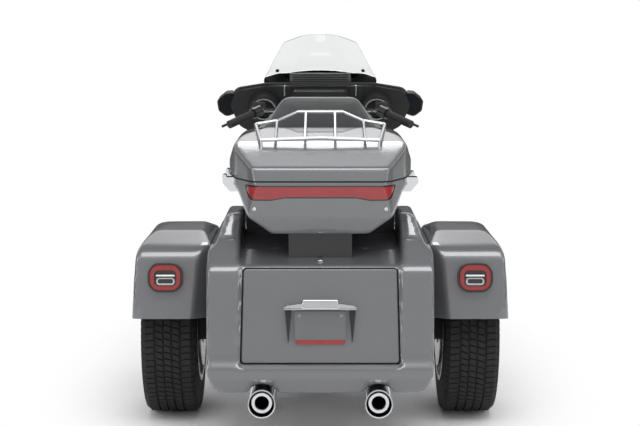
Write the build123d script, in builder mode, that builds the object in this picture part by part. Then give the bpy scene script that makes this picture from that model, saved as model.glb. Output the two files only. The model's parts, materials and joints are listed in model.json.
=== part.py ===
"""Three-wheeled touring motorcycle, in millimetres: +Y forward, +X to the rider's right, +Z up."""

from build123d import *

import os
from math import cos, radians, sin

os.makedirs("parts", exist_ok=True)

# Clearances
SEAT_GAP = 0.3
MOVE_GAP = 8
RUN_GAP = 0.5

# Wheels and where their axles lie
REAR_AXLE_Y = -654
WHEELBASE = 1670
FRONT_AXLE_Y = REAR_AXLE_Y + WHEELBASE
REAR_TRACK_HALF = 562
REAR_TYRE_R = 324
REAR_TYRE_HALF_W = 97
REAR_TREAD_HALF_W = 86
REAR_SHOULDER = 39
REAR_RIM_R = 196
REAR_FLANGE = 12
REAR_FLANGE_THICK = 6
FRONT_TYRE_R = 319
FRONT_TYRE_HALF_W = 60
FRONT_TREAD_HALF_W = 30
FRONT_SHOULDER = 34
FRONT_RIM_R = 241
FRONT_FLANGE = 10
FRONT_FLANGE_THICK = 5
REAR_AXLE_Z = REAR_TYRE_R
FRONT_AXLE_Z = FRONT_TYRE_R

# Steering axis: it leans back by the rake and meets the ground ahead of the tyre's contact
RAKE = radians(26)
TRAIL = 100
AXIS_FOOT_Y = FRONT_AXLE_Y + TRAIL
RAKE_SIN = sin(RAKE)
RAKE_COS = cos(RAKE)
FORK_OFFSET = FRONT_AXLE_Z * RAKE_SIN - TRAIL * RAKE_COS
AXLE_HEIGHT = FRONT_AXLE_Z * RAKE_COS + TRAIL * RAKE_SIN

SIDES = (-1, 1)


def fork_point(across, along, ahead):
    """Point in the fork's own directions: across, up along the steering axis, ahead of that axis."""
    return (
        across,
        AXIS_FOOT_Y - along * RAKE_SIN + ahead * RAKE_COS,
        along * RAKE_COS + ahead * RAKE_SIN,
    )


def fork_face(ahead):
    """Plane that faces forward along the fork: local x to the left, local y up the steering axis."""
    return Plane(fork_point(0, 0, ahead), x_dir=(-1, 0, 0), z_dir=(0, RAKE_COS, RAKE_SIN))


def fork_level(along):
    """Plane square to the steering axis: local x to the right, local y ahead."""
    return Plane(fork_point(0, along, 0), x_dir=(1, 0, 0), z_dir=(0, -RAKE_SIN, RAKE_COS))


def side(x):
    """Plane seen from the right: local x forward, local y up, extrudes to the right."""
    return Plane.YZ.offset(x)


def behind(y):
    """Plane seen from behind: local x right, local y up, extrudes backwards."""
    return Plane.XZ.offset(-y)


def shape(plane, table):
    """Closed outline on a plane, always drawn anticlockwise. Columns: across, up, corner radius."""
    turn = sum(a[0] * b[1] - b[0] * a[1] for a, b in zip(table, table[1:] + table[:1]))
    rows = table if turn > 0 else table[::-1]
    with BuildSketch(plane) as drawn:
        with BuildLine():
            FilletPolyline(*[row[:2] for row in rows], radius=[row[2] for row in rows], close=True)
        make_face()
    return drawn.sketch


def both_halves(half):
    """Outline that is alike on both sides, from its right half listed from top to bottom."""
    return half + [(-across, up, radius) for across, up, radius in reversed(half)]


def tube(points, radius, bend):
    """Round bar along a bent line."""
    with BuildPart() as bar:
        with BuildLine() as route:
            FilletPolyline(*points, radius=bend)
        with BuildSketch(Plane(route.line @ 0, z_dir=route.line % 0)):
            Circle(radius)
        sweep(path=route.line)
    return bar.part


def rod(start, end, radius):
    """Straight round bar between two points."""
    with BuildPart() as bar:
        with BuildLine() as route:
            Line(start, end)
        with BuildSketch(Plane(start, z_dir=route.line % 0)):
            Circle(radius)
        sweep(path=route.line)
    return bar.part


def spun(centre, table):
    """Ring about a line along X through a centre. Columns: across, out from the line, corner radius."""
    with BuildPart() as ring:
        with BuildSketch(Plane(centre, x_dir=(1, 0, 0), z_dir=(0, -1, 0))):
            with BuildLine():
                FilletPolyline(*[row[:2] for row in table], radius=[row[2] for row in table], close=True)
            make_face()
        revolve(axis=Axis(centre, (1, 0, 0)))
    return ring.part


def tyre_section(rim_r, tread_r, half_w, tread_half, shoulder):
    """Section of a tyre: across, out, corner radius, with flat side walls between the rim's flanges."""
    half = [
        (half_w, rim_r, 0),
        (half_w, tread_r - shoulder, 0),
        (tread_half, tread_r, 0),
    ]
    return half + [(-across, out, corner) for across, out, corner in reversed(half)]


# Frame: head tube, backbone, seat rails, lower rails and uprights
TUBE_R = 17
RAIL_X = 95
RAIL_Z = 140
RAIL_FRONT_Y = 560
RAIL_REAR_Y = -345
BACKBONE_R = 22
HEAD_R = 34
HEAD_LOW = 860
HEAD_HIGH = 1010
STEM_R = 20
SEAT_RAIL_X = 85
SEAT_RAIL_R = 14
SEAT_RAIL_Z = 671
TRUNK_FRONT_Y = REAR_AXLE_Y + 290
PIVOT_Z = 330
PIVOT_R = 15

BACKBONE_KNEE = (0, 470, 800)
BACKBONE_LOW = (0, 120, SEAT_RAIL_Z + SEAT_RAIL_R - BACKBONE_R)
HEAD_MID = fork_point(0, (HEAD_LOW + HEAD_HIGH) / 2, 0)
with BuildPart() as frame:
    add(rod(fork_point(0, HEAD_LOW, 0), fork_point(0, HEAD_HIGH, 0), HEAD_R))
    add(
        tube(
            [HEAD_MID, BACKBONE_KNEE, BACKBONE_LOW, (0, -130, BACKBONE_LOW[2])],
            BACKBONE_R,
            60,
        )
    )
    for hand in SIDES:
        add(
            tube(
                [
                    (hand * 18, HEAD_MID[1], HEAD_MID[2] - 30),
                    (hand * RAIL_X, RAIL_FRONT_Y + 60, 560),
                    (hand * RAIL_X, RAIL_FRONT_Y, RAIL_Z),
                    (hand * RAIL_X, RAIL_REAR_Y, RAIL_Z),
                    (hand * RAIL_X, RAIL_REAR_Y, SEAT_RAIL_Z - 40),
                ],
                TUBE_R,
                70,
            )
        )
        add(
            tube(
                [
                    (0, -20, SEAT_RAIL_Z - 6),
                    (hand * SEAT_RAIL_X, -120, SEAT_RAIL_Z),
                    (hand * SEAT_RAIL_X, TRUNK_FRONT_Y + SEAT_GAP, SEAT_RAIL_Z),
                ],
                SEAT_RAIL_R,
                40,
            )
        )
        add(rod((hand * RAIL_X, RAIL_REAR_Y, SEAT_RAIL_Z - 60), (hand * SEAT_RAIL_X, RAIL_REAR_Y, SEAT_RAIL_Z), TUBE_R))
        add(rod((hand * (RAIL_X - 22), RAIL_REAR_Y, PIVOT_Z), (hand * (RAIL_X + 24), RAIL_REAR_Y, PIVOT_Z), 2 * PIVOT_R))
        add(
            rod((hand * (RAIL_X - 25), RAIL_REAR_Y, PIVOT_Z), (hand * (RAIL_X + 25), RAIL_REAR_Y, PIVOT_Z), PIVOT_R + 0.1),
            mode=Mode.SUBTRACT,
        )
    for cross_y in (RAIL_FRONT_Y - 90, -330):
        add(rod((-RAIL_X, cross_y, RAIL_Z), (RAIL_X, cross_y, RAIL_Z), TUBE_R - 3))
    add(rod(fork_point(0, HEAD_LOW - 5, 0), fork_point(0, HEAD_HIGH + 5, 0), STEM_R + RUN_GAP), mode=Mode.SUBTRACT)
frame.part.label = "frame"
export_step(frame.part, "parts/frame.step")

# Engine: 45 degree V-twin, its crankcase on the lower rails
CRANK_Y = 165
CRANK_Z = 272
CASE_HALF_W = 108
CASE_BOTTOM = RAIL_Z + TUBE_R + SEAT_GAP
V_HALF = radians(22.5)
BARREL_START = 128
FIN_HALF = 66
FIN_THICK = 4
FIN_PITCH = 10.5
FIN_COUNT = 12
HEAD_TALL = 58
BARREL_R = 54
COVER_TALL = 44
CAM_TOP = 70


def barrel_plane(lean, out):
    """Plane square to a cylinder that leans forward (1) or back (-1), this far from the crank."""
    direction = (0, lean * sin(V_HALF), cos(V_HALF))
    origin = (0, CRANK_Y + out * direction[1], CRANK_Z + out * direction[2])
    return Plane(origin, x_dir=(1, 0, 0), z_dir=direction)


with BuildPart() as crankcase:
    with BuildSketch(side(-CASE_HALF_W)):
        with Locations((CRANK_Y, CRANK_Z)):
            Circle(112)
    extrude(amount=2 * CASE_HALF_W)
    with BuildSketch(side(-CASE_HALF_W + 12)):
        with BuildLine():
            FilletPolyline(
                (CRANK_Y + 122, CASE_BOTTOM),
                (CRANK_Y + 122, CRANK_Z - 20),
                (CRANK_Y + 80, CRANK_Z + 92),
                (CRANK_Y - 80, CRANK_Z + 92),
                (CRANK_Y - 128, CRANK_Z - 20),
                (CRANK_Y - 128, CASE_BOTTOM),
                radius=[20, 25, 25, 20, 0, 0],
                close=True,
            )
        make_face()
    extrude(amount=2 * CASE_HALF_W - 24)
    for lean in SIDES:
        with BuildSketch(barrel_plane(lean, 60)):
            Circle(BARREL_R + 8)
        extrude(amount=BARREL_START - 60)
    with BuildSketch(side(CASE_HALF_W)):
        with BuildLine():
            FilletPolyline(
                (CRANK_Y + 92, CRANK_Z - 30),
                (CRANK_Y + 80, CRANK_Z + CAM_TOP),
                (CRANK_Y - 80, CRANK_Z + CAM_TOP),
                (CRANK_Y - 92, CRANK_Z - 30),
                (CRANK_Y, CRANK_Z - 85),
                radius=[25, 20, 20, 25, 45],
                close=True,
            )
        make_face()
    extrude(amount=38)
    with BuildSketch(Plane((0, 0, CASE_BOTTOM))):
        Rectangle(800, 1200)
    extrude(amount=-60, mode=Mode.SUBTRACT)
crankcase.part.label = "engine_crankcase"
export_step(crankcase.part, "parts/engine_crankcase.step")

FIN_TOP = BARREL_START + FIN_PITCH * FIN_COUNT
with BuildPart() as cylinders:
    for lean in SIDES:
        with BuildSketch(barrel_plane(lean, BARREL_START)):
            Circle(BARREL_R)
        extrude(amount=FIN_PITCH * FIN_COUNT)
        for number in range(FIN_COUNT):
            with BuildSketch(barrel_plane(lean, BARREL_START + 6 + FIN_PITCH * number)):
                RectangleRounded(2 * FIN_HALF, 2 * FIN_HALF - 14, 20)
            extrude(amount=FIN_THICK)
        with BuildSketch(barrel_plane(lean, FIN_TOP - 2)):
            RectangleRounded(2 * FIN_HALF, 2 * FIN_HALF - 8, 18)
        extrude(amount=HEAD_TALL)
    add(crankcase.part, mode=Mode.SUBTRACT)
cylinders.part.label = "engine_cylinders"
export_step(cylinders.part, "parts/engine_cylinders.step")

# Rocker covers, and the pushrod tubes on the right: two to a cylinder, up from the cam cover
HEAD_TOP = FIN_TOP - 2 + HEAD_TALL
PUSHROD_X = FIN_HALF + 14
PUSHROD_FOOT_X = CASE_HALF_W + 19
PUSHROD_R = 9
with BuildPart() as rocker_covers:
    for lean in SIDES:
        with BuildSketch(barrel_plane(lean, HEAD_TOP)):
            RectangleRounded(2 * FIN_HALF + 6, 2 * FIN_HALF - 10, 16)
        extrude(amount=COVER_TALL * 0.4)
        with BuildSketch(barrel_plane(lean, HEAD_TOP + COVER_TALL * 0.4)):
            RectangleRounded(2 * FIN_HALF - 14, 2 * FIN_HALF - 34, 16)
        extrude(amount=COVER_TALL * 0.6, taper=8)
        for foot_shift, top_shift in ((14, 26), (34, -14)):
            foot = (PUSHROD_FOOT_X, CRANK_Y + lean * foot_shift, CRANK_Z + CAM_TOP - 2)
            top_plane = barrel_plane(lean, FIN_TOP + 30)
            top = (PUSHROD_X, top_plane.origin.Y + lean * top_shift, top_plane.origin.Z)
            add(rod(foot, top, PUSHROD_R))
    add(crankcase.part, mode=Mode.SUBTRACT)
    add(cylinders.part, mode=Mode.SUBTRACT)
rocker_covers.part.label = "rocker_covers"
export_step(rocker_covers.part, "parts/rocker_covers.step")

GEARBOX_REAR_Y = RAIL_REAR_Y + 40
with BuildPart() as gearbox:
    with BuildSketch(side(-CASE_HALF_W + 6)):
        with BuildLine():
            FilletPolyline(
                (CRANK_Y - 128 - SEAT_GAP, CASE_BOTTOM),
                (CRANK_Y - 128 - SEAT_GAP, CRANK_Z + 70),
                (GEARBOX_REAR_Y + 60, CRANK_Z + 100),
                (GEARBOX_REAR_Y, CRANK_Z + 40),
                (GEARBOX_REAR_Y, CRANK_Z - 40),
                (GEARBOX_REAR_Y + 70, CASE_BOTTOM),
                radius=[0, 20, 40, 30, 20, 0],
                close=True,
            )
        make_face()
    extrude(amount=2 * CASE_HALF_W - 12)
gearbox.part.label = "gearbox"
export_step(gearbox.part, "parts/gearbox.step")

PRIMARY_DEEP = 74
with BuildPart() as primary_cover:
    with BuildSketch(side(-CASE_HALF_W - SEAT_GAP)):
        with Locations((CRANK_Y, CRANK_Z)):
            Circle(104)
        with Locations((CRANK_Y - 270, CRANK_Z + 14)):
            Circle(92)
        make_hull()
    extrude(amount=-PRIMARY_DEEP)
    chamfer(primary_cover.faces().sort_by(Axis.X)[0].edges(), 14)
    for boss_y, boss_r in ((CRANK_Y, 52), (CRANK_Y - 270, 62)):
        with BuildSketch(side(-CASE_HALF_W - SEAT_GAP - PRIMARY_DEEP)):
            with Locations((boss_y, CRANK_Z + 6)):
                Circle(boss_r)
        extrude(amount=-8)
primary_cover.part.label = "primary_cover"
export_step(primary_cover.part, "parts/primary_cover.step")

AIR_Y = CRANK_Y
AIR_Z = CRANK_Z + 232
AIR_R = 88
with BuildPart() as air_cleaner:
    with BuildSketch(side(PUSHROD_X + PUSHROD_R + 2)):
        with Locations((AIR_Y, AIR_Z)):
            Circle(AIR_R)
    extrude(amount=52)
    chamfer(air_cleaner.faces().sort_by(Axis.X)[-1].edges(), 12)
    with BuildSketch(side(FIN_HALF + SEAT_GAP)):
        with Locations((AIR_Y, AIR_Z - 6)):
            Rectangle(150, 34)
    extrude(amount=PUSHROD_X + PUSHROD_R + 4 - FIN_HALF)
    add(rocker_covers.part, mode=Mode.SUBTRACT)
air_cleaner.part.label = "air_cleaner"
export_step(air_cleaner.part, "parts/air_cleaner.step")

# Exhaust: two pipes to a silencer on each side, low beside the body
SILENCER_X = 203
SILENCER_Z = 185
SILENCER_R = 48
SILENCER_FRONT_Y = -420
TIP_END_Y = -1335
PIPE_R = 23
TUNNEL_R = SILENCER_R + 10
HANGER_Y = -980
with BuildPart() as exhaust:
    add(
        tube(
            [
                (45, CRANK_Y + 216, 500),
                (80, CRANK_Y + 290, 470),
                (130, CRANK_Y + 300, 300),
                (SILENCER_X, CRANK_Y + 230, SILENCER_Z),
                (SILENCER_X, SILENCER_FRONT_Y, SILENCER_Z),
            ],
            PIPE_R,
            50,
        )
    )
    add(
        tube(
            [
                (SILENCER_X, -270, SILENCER_Z),
                (SILENCER_X - 30, -395, SILENCER_Z),
                (-SILENCER_X + 60, -395, SILENCER_Z),
                (-SILENCER_X, -400, SILENCER_Z),
                (-SILENCER_X, SILENCER_FRONT_Y, SILENCER_Z),
            ],
            PIPE_R,
            8,
        )
    )
    for hand in SIDES:
        with BuildSketch(Plane.XY.offset(SILENCER_Z)):
            with BuildLine():
                Polyline(
                    (hand * SILENCER_X, SILENCER_FRONT_Y),
                    (hand * (SILENCER_X + PIPE_R + 3), SILENCER_FRONT_Y),
                    (hand * (SILENCER_X + SILENCER_R), SILENCER_FRONT_Y - 70),
                    (hand * (SILENCER_X + SILENCER_R), HANGER_Y + 15),
                    (hand * (SILENCER_X + TUNNEL_R - SEAT_GAP), HANGER_Y + 15),
                    (hand * (SILENCER_X + TUNNEL_R - SEAT_GAP), HANGER_Y - 15),
                    (hand * (SILENCER_X + SILENCER_R), HANGER_Y - 15),
                    (hand * (SILENCER_X + SILENCER_R), TIP_END_Y),
                    (hand * (SILENCER_X + SILENCER_R - 4), TIP_END_Y),
                    (hand * (SILENCER_X + SILENCER_R - 6), TIP_END_Y + 110),
                    (hand * (SILENCER_X + 36), TIP_END_Y + 110),
                    (hand * (SILENCER_X + 36), TIP_END_Y + 30),
                    (hand * (SILENCER_X + 25), TIP_END_Y + 30),
                    (hand * (SILENCER_X + 25), TIP_END_Y + 120),
                    (hand * SILENCER_X, TIP_END_Y + 120),
                    close=True,
                )
            make_face()
        revolve(axis=Axis((hand * SILENCER_X, 0, SILENCER_Z), (0, 1, 0)))
    # Cuts each tip at a slant, its lower lip longest
    with BuildSketch(side(-400)):
        with BuildLine():
            Polyline(
                (TIP_END_Y - 5, SILENCER_Z - 20),
                (TIP_END_Y + 26, SILENCER_Z + 60),
                (TIP_END_Y - 60, SILENCER_Z + 60),
                (TIP_END_Y - 60, SILENCER_Z - 20),
                close=True,
            )
        make_face()
    extrude(amount=800, mode=Mode.SUBTRACT)
exhaust.part.label = "exhaust"
export_step(exhaust.part, "parts/exhaust.step")

# Fuel tank over the backbone, the seat behind it
TANK_FRONT_Y = 515
TANK_REAR_Y = 75
TANK_BOTTOM_Z = 700
TANK_TOP_Z = 935
TANK_HALF_W = 168
TUNNEL_HALF_W = 34
TUNNEL_ROOF_Z = BACKBONE_KNEE[2] + BACKBONE_R + 12
TUNNEL_REAR_Z = BACKBONE_LOW[2] + BACKBONE_R + 30
with BuildPart() as tank_form:
    extrude(
        shape(
            side(-TANK_HALF_W - 10),
            [
                (TANK_REAR_Y, TANK_BOTTOM_Z, 12),
                (TANK_REAR_Y, 800, 30),
                (TANK_REAR_Y + 110, 880, 120),
                (TANK_FRONT_Y - 150, TANK_TOP_Z, 120),
                (TANK_FRONT_Y - 20, 915, 50),
                (TANK_FRONT_Y, 850, 40),
                (TANK_FRONT_Y - 40, TANK_BOTTOM_Z + 55, 40),
                (TANK_FRONT_Y - 140, TANK_BOTTOM_Z, 60),
            ],
        ),
        amount=2 * TANK_HALF_W + 20,
    )
    extrude(
        shape(
            behind(TANK_FRONT_Y + 15),
            both_halves(
                [
                    (70, TANK_TOP_Z + 2, 60),
                    (140, TANK_TOP_Z - 55, 60),
                    (TANK_HALF_W, 830, 45),
                    (TANK_HALF_W - 8, TANK_BOTTOM_Z + 40, 40),
                    (TANK_HALF_W - 60, TANK_BOTTOM_Z - 8, 20),
                ]
            ),
        ),
        amount=TANK_FRONT_Y - TANK_REAR_Y + 40,
        mode=Mode.INTERSECT,
    )
    extrude(
        shape(
            Plane.XY.offset(TANK_BOTTOM_Z - 25),
            both_halves(
                [
                    (60, TANK_FRONT_Y + 2, 55),
                    (150, TANK_FRONT_Y - 60, 90),
                    (TANK_HALF_W + 1, TANK_FRONT_Y - 200, 160),
                    (120, TANK_REAR_Y - 10, 60),
                ]
            ),
        ),
        amount=TANK_TOP_Z - TANK_BOTTOM_Z + 60,
        mode=Mode.INTERSECT,
    )

with BuildPart() as fuel_tank:
    add(tank_form.part)
    extrude(
        shape(
            side(-TUNNEL_HALF_W),
            [
                (TANK_FRONT_Y + 30, TANK_BOTTOM_Z - 20, 0),
                (TANK_FRONT_Y + 30, TUNNEL_ROOF_Z + 22, 0),
                (BACKBONE_KNEE[1], TUNNEL_ROOF_Z, 0),
                (TANK_REAR_Y - 20, TUNNEL_REAR_Z, 0),
                (TANK_REAR_Y - 20, TANK_BOTTOM_Z - 20, 0),
            ],
        ),
        amount=2 * TUNNEL_HALF_W,
        mode=Mode.SUBTRACT,
    )
fuel_tank.part.label = "fuel_tank"
export_step(fuel_tank.part, "parts/fuel_tank.step")

CONSOLE_HALF_W = 46
with BuildPart() as tank_console:
    extrude(
        shape(
            side(-CONSOLE_HALF_W),
            [
                (TANK_REAR_Y + 2, 790, 0),
                (TANK_REAR_Y + 2, 815, 12),
                (TANK_REAR_Y + 115, 896, 110),
                (TANK_FRONT_Y - 150, TANK_TOP_Z + 14, 110),
                (TANK_FRONT_Y - 55, TANK_TOP_Z + 4, 30),
                (TANK_FRONT_Y - 50, 880, 5),
            ],
        ),
        amount=2 * CONSOLE_HALF_W,
    )
    with BuildSketch(Plane.XY.offset(TANK_TOP_Z - 60)):
        with Locations((0, TANK_FRONT_Y - 250)):
            Circle(34)
    extrude(amount=76)
    add(tank_form.part, mode=Mode.SUBTRACT)
tank_console.part.label = "tank_console"
export_step(tank_console.part, "parts/tank_console.step")

# Trunk body between the rear wheels: hollow, with raised shoulders, a sunk deck and a door
TRUNK_HALF_W = 398
TRUNK_WALL = 5
SHOULDER_IN = 283
DECK_FRONT_Z = 700
DECK_MID_Z = 687
FACE_LEAN = radians(6.9)
DOOR_TOP_Z = 642
DOOR_BOTTOM_Z = 315
DOOR_FACE_TOP_Y = REAR_AXLE_Y - 570
DOOR_FACE_BOTTOM_Y = DOOR_FACE_TOP_Y - (DOOR_TOP_Z - DOOR_BOTTOM_Z) * sin(FACE_LEAN) / cos(FACE_LEAN)
JAMB_DEEP = 40
TRUNK_FLOOR_Z = 207
BUMPER_Y = REAR_AXLE_Y - 640
TRUNK_LONG = TRUNK_FRONT_Y - BUMPER_Y + 40
BUMPER_TOP_Z = 302
ARCH_Z = 440
ARCH_REAR_Y = REAR_AXLE_Y - 135


def trunk_outline(inset):
    """Trunk seen from behind, with the wall's thickness taken off all round."""
    half = [
        (280 + inset, 807 - inset, 20),
        (345 - inset, 803 - inset, 25),
        (372 - inset, 715, 20),
        (TRUNK_HALF_W - inset, 700 - inset, 14),
        (TRUNK_HALF_W - inset, 290, 60),
        (372 - inset, TRUNK_FLOOR_Z + inset, 50),
    ]
    return both_halves(half)


def trunk_profile(inset):
    """Trunk seen from the right, with the wall's thickness taken off all round."""
    return [
        (TRUNK_FRONT_Y - inset, 648 + inset, 0),
        (TRUNK_FRONT_Y - inset, 715 - inset, 20),
        (REAR_AXLE_Y - 40, 802 - inset, 180),
        (REAR_AXLE_Y - 280, 808 - inset, 120),
        (REAR_AXLE_Y - 470, 735 - inset, 150),
        (REAR_AXLE_Y - 588 + inset, 640, 60),
        (REAR_AXLE_Y - 622 + inset, 330, 30),
        (BUMPER_Y + inset, BUMPER_TOP_Z - inset, 8),
        (BUMPER_Y + inset, 266, 10),
        (REAR_AXLE_Y - 606 + inset, TRUNK_FLOOR_Z + inset, 12),
        (ARCH_REAR_Y - inset, TRUNK_FLOOR_Z + inset, 20),
        (ARCH_REAR_Y - inset, ARCH_Z + inset, 20),
        (REAR_AXLE_Y + 184 - inset, ARCH_Z + inset, 0),
        (REAR_AXLE_Y + 184 - inset, 648 + inset, 0),
    ]


def deck_cut(deck_drop, face_drop):
    """What is cut away between the shoulders, above the deck and behind the door's face."""
    return [
        (TRUNK_FRONT_Y + 60, DECK_FRONT_Z - deck_drop, 0),
        (REAR_AXLE_Y - 50, DECK_FRONT_Z - deck_drop, 60),
        (REAR_AXLE_Y - 420, DECK_MID_Z - deck_drop, 60),
        (DOOR_FACE_TOP_Y + 12 + face_drop, DOOR_TOP_Z + 12 - deck_drop, 6),
        (DOOR_FACE_TOP_Y + face_drop, DOOR_TOP_Z, 0),
        (DOOR_FACE_BOTTOM_Y + face_drop, DOOR_BOTTOM_Z, 0),
        (DOOR_FACE_BOTTOM_Y + face_drop, BUMPER_TOP_Z + 2 - deck_drop, 0),
        (BUMPER_Y - 60, BUMPER_TOP_Z + 2 - deck_drop, 0),
        (BUMPER_Y - 60, 900, 0),
        (TRUNK_FRONT_Y + 60, 900, 0),
    ]


DOOR_MID_Z = (DOOR_TOP_Z + DOOR_BOTTOM_Z) / 2
DOOR_MID_Y = (DOOR_FACE_TOP_Y + DOOR_FACE_BOTTOM_Y) / 2
DOOR_TALL_HALF = (DOOR_TOP_Z - DOOR_BOTTOM_Z) / 2 / cos(FACE_LEAN)
DOOR_HALF_TOP = 268
DOOR_HALF_BOTTOM = 277
DOOR_GAP = 4
DOOR_THICK = 24
LIP = 18


def door_plane(out):
    """Plane on the door's outer face, this far out behind it: local x right, local y up."""
    face = Plane(
        (0, DOOR_MID_Y, DOOR_MID_Z), x_dir=(1, 0, 0), z_dir=(0, -cos(FACE_LEAN), sin(FACE_LEAN))
    )
    return face.offset(out)


def door_outline(grow, corner):
    """Door seen square to its face, grown by a margin all round."""
    return both_halves(
        [
            (DOOR_HALF_TOP + grow, DOOR_TALL_HALF + grow, corner),
            (DOOR_HALF_BOTTOM + grow, -DOOR_TALL_HALF - grow, corner),
        ]
    )


with BuildPart() as trunk_form:
    extrude(shape(side(-TRUNK_HALF_W), trunk_profile(0)), amount=2 * TRUNK_HALF_W)
    extrude(shape(behind(TRUNK_FRONT_Y), trunk_outline(0)), amount=TRUNK_LONG, mode=Mode.INTERSECT)
    extrude(shape(side(-SHOULDER_IN), deck_cut(0, 0)), amount=2 * SHOULDER_IN, mode=Mode.SUBTRACT)
    for hand in SIDES:
        with BuildSketch(behind(TRUNK_FRONT_Y + 5)):
            with Locations((hand * SILENCER_X, SILENCER_Z)):
                Circle(TUNNEL_R)
        extrude(amount=TRUNK_LONG, mode=Mode.SUBTRACT)

with BuildPart() as trunk_space:
    extrude(shape(side(-TRUNK_HALF_W), trunk_profile(TRUNK_WALL)), amount=2 * TRUNK_HALF_W)
    extrude(shape(behind(TRUNK_FRONT_Y), trunk_outline(TRUNK_WALL)), amount=TRUNK_LONG, mode=Mode.INTERSECT)
    extrude(
        shape(side(-SHOULDER_IN - TRUNK_WALL), deck_cut(TRUNK_WALL, JAMB_DEEP)),
        amount=2 * (SHOULDER_IN + TRUNK_WALL),
        mode=Mode.SUBTRACT,
    )
    for hand in SIDES:
        with BuildSketch(behind(TRUNK_FRONT_Y + 5)):
            with Locations((hand * SILENCER_X, SILENCER_Z)):
                Circle(TUNNEL_R + TRUNK_WALL)
        extrude(amount=TRUNK_LONG, mode=Mode.SUBTRACT)

with BuildPart() as trunk_body:
    add(trunk_form.part)
    add(trunk_space.part, mode=Mode.SUBTRACT)
    extrude(shape(door_plane(20), door_outline(DOOR_GAP, 14)), amount=-DOOR_THICK - 20, mode=Mode.SUBTRACT)
    extrude(shape(door_plane(20), door_outline(-LIP, 14)), amount=-JAMB_DEEP - 40, mode=Mode.SUBTRACT)
    with BuildSketch(Plane((0, REAR_AXLE_Y - 520, DECK_MID_Z - 24), z_dir=(0, -0.3, 1))):
        Circle(10)
    extrude(amount=12)
trunk_body.part.label = "trunk_body"
export_step(trunk_body.part, "parts/trunk_body.step")

# Trunk door, hinged along its bottom edge, with the number plate's lamp bar and its fins
with BuildPart() as trunk_door:
    extrude(shape(door_plane(0), door_outline(0, 12)), amount=-DOOR_THICK + SEAT_GAP)
trunk_door.part.label = "trunk_door"
export_step(trunk_door.part, "parts/trunk_door.step")

PLATE_W = 178
PLATE_H = 102
PLATE_Z = 449
PLATE_Y = DOOR_MID_Y - 18
PLATE_THICK = 2
PLATE_HOLES = 146
PLATE_HOLES_Z = PLATE_Z + PLATE_H / 2 - 16
PLATE_HOLE_R = 3.5
PLATE_UP = (PLATE_Z - DOOR_MID_Z) / cos(FACE_LEAN)
BAR_UP = 38
BAR_HALF = 127
BAR_OUT = 44
REFLECTOR_H = 22
with BuildPart() as lamp_bar:
    extrude(
        shape(
            door_plane(SEAT_GAP),
            both_halves([(60, BAR_UP + 26, 8), (BAR_HALF - 8, BAR_UP + 8, 6), (BAR_HALF, BAR_UP - 10, 5)]),
        ),
        amount=BAR_OUT,
        taper=6,
    )
    for hand in SIDES:
        extrude(
            shape(
                door_plane(SEAT_GAP),
                [
                    (hand * (BAR_HALF - 3), BAR_UP - 8, 0),
                    (hand * (BAR_HALF - 24), BAR_UP - 8, 0),
                    (hand * (BAR_HALF - 16), BAR_UP - 138, 2),
                ],
            ),
            amount=12,
        )
lamp_bar.part.label = "plate_lamp_bar"
export_step(lamp_bar.part, "parts/plate_lamp_bar.step")

with BuildPart() as number_plate:
    with BuildSketch(behind(PLATE_Y + 30)):
        with Locations((0, PLATE_Z)):
            RectangleRounded(PLATE_HOLES - 4 * PLATE_HOLE_R, PLATE_H - 14, 6)
    extrude(amount=30)
    with BuildSketch(behind(PLATE_Y)):
        with Locations((0, PLATE_Z)):
            RectangleRounded(PLATE_W, PLATE_H, 8)
    extrude(amount=PLATE_THICK)
    with BuildSketch(behind(PLATE_Y + 40)):
        with Locations((-PLATE_HOLES / 2, PLATE_HOLES_Z), (PLATE_HOLES / 2, PLATE_HOLES_Z)):
            Circle(PLATE_HOLE_R)
    extrude(amount=60, mode=Mode.SUBTRACT)
    extrude(shape(door_plane(SEAT_GAP), door_outline(0, 12)), amount=-60, mode=Mode.SUBTRACT)
number_plate.part.label = "number_plate"
export_step(number_plate.part, "parts/number_plate.step")

with BuildPart() as reflector:
    with BuildSketch(door_plane(SEAT_GAP)):
        with Locations((0, PLATE_UP - PLATE_H / 2 - REFLECTOR_H / 2 - 6)):
            RectangleRounded(PLATE_W - 6, REFLECTOR_H, 5)
    extrude(amount=9)
reflector.part.label = "plate_reflector"
export_step(reflector.part, "parts/plate_reflector.step")

# Rear fenders: hollow arches beside the trunk, sizes from the rear axle
FENDER_WALL = 5
FENDER_TOP = 731
FENDER_OUT = 695
FENDER_LOW = 430
FENDER_CREASE_Y = REAR_AXLE_Y - 360
FENDER_CREASE_Z = 681
FENDER_BACK_Y = REAR_AXLE_Y - 391
FENDER_IN = TRUNK_HALF_W + SEAT_GAP
ARCH_R = REAR_TYRE_R - 22


def fender_profile(inset):
    """Fender seen from the right; the lower edge drops well below so that an inset one opens it."""
    drop = 40 * inset
    return [
        (FENDER_BACK_Y + inset, FENDER_LOW - drop, 0),
        (FENDER_CREASE_Y + inset, FENDER_CREASE_Z - inset, 14),
        (REAR_AXLE_Y - 180, 724 - inset, 150),
        (REAR_AXLE_Y + 30, FENDER_TOP + 3 - inset, 150),
        (REAR_AXLE_Y + 220, 690 - inset, 130),
        (REAR_AXLE_Y + 350 - inset, 530, 130),
        (REAR_AXLE_Y + 392 - inset, 345 - drop, 0),
    ]


def fender_outline(hand, inset):
    """Fender seen from behind."""
    return [
        (hand * (440 + inset / 2), 733 - inset, 22),
        (hand * (628 - inset / 2), 729 - inset, 60),
        (hand * (670 - inset), 668, 70),
        (hand * (FENDER_OUT - inset), 300 - 10 * inset, 0),
        (hand * (FENDER_IN + inset), 300 - 10 * inset, 0),
        (hand * (FENDER_IN + inset), 690 - inset, 20),
    ]


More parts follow.
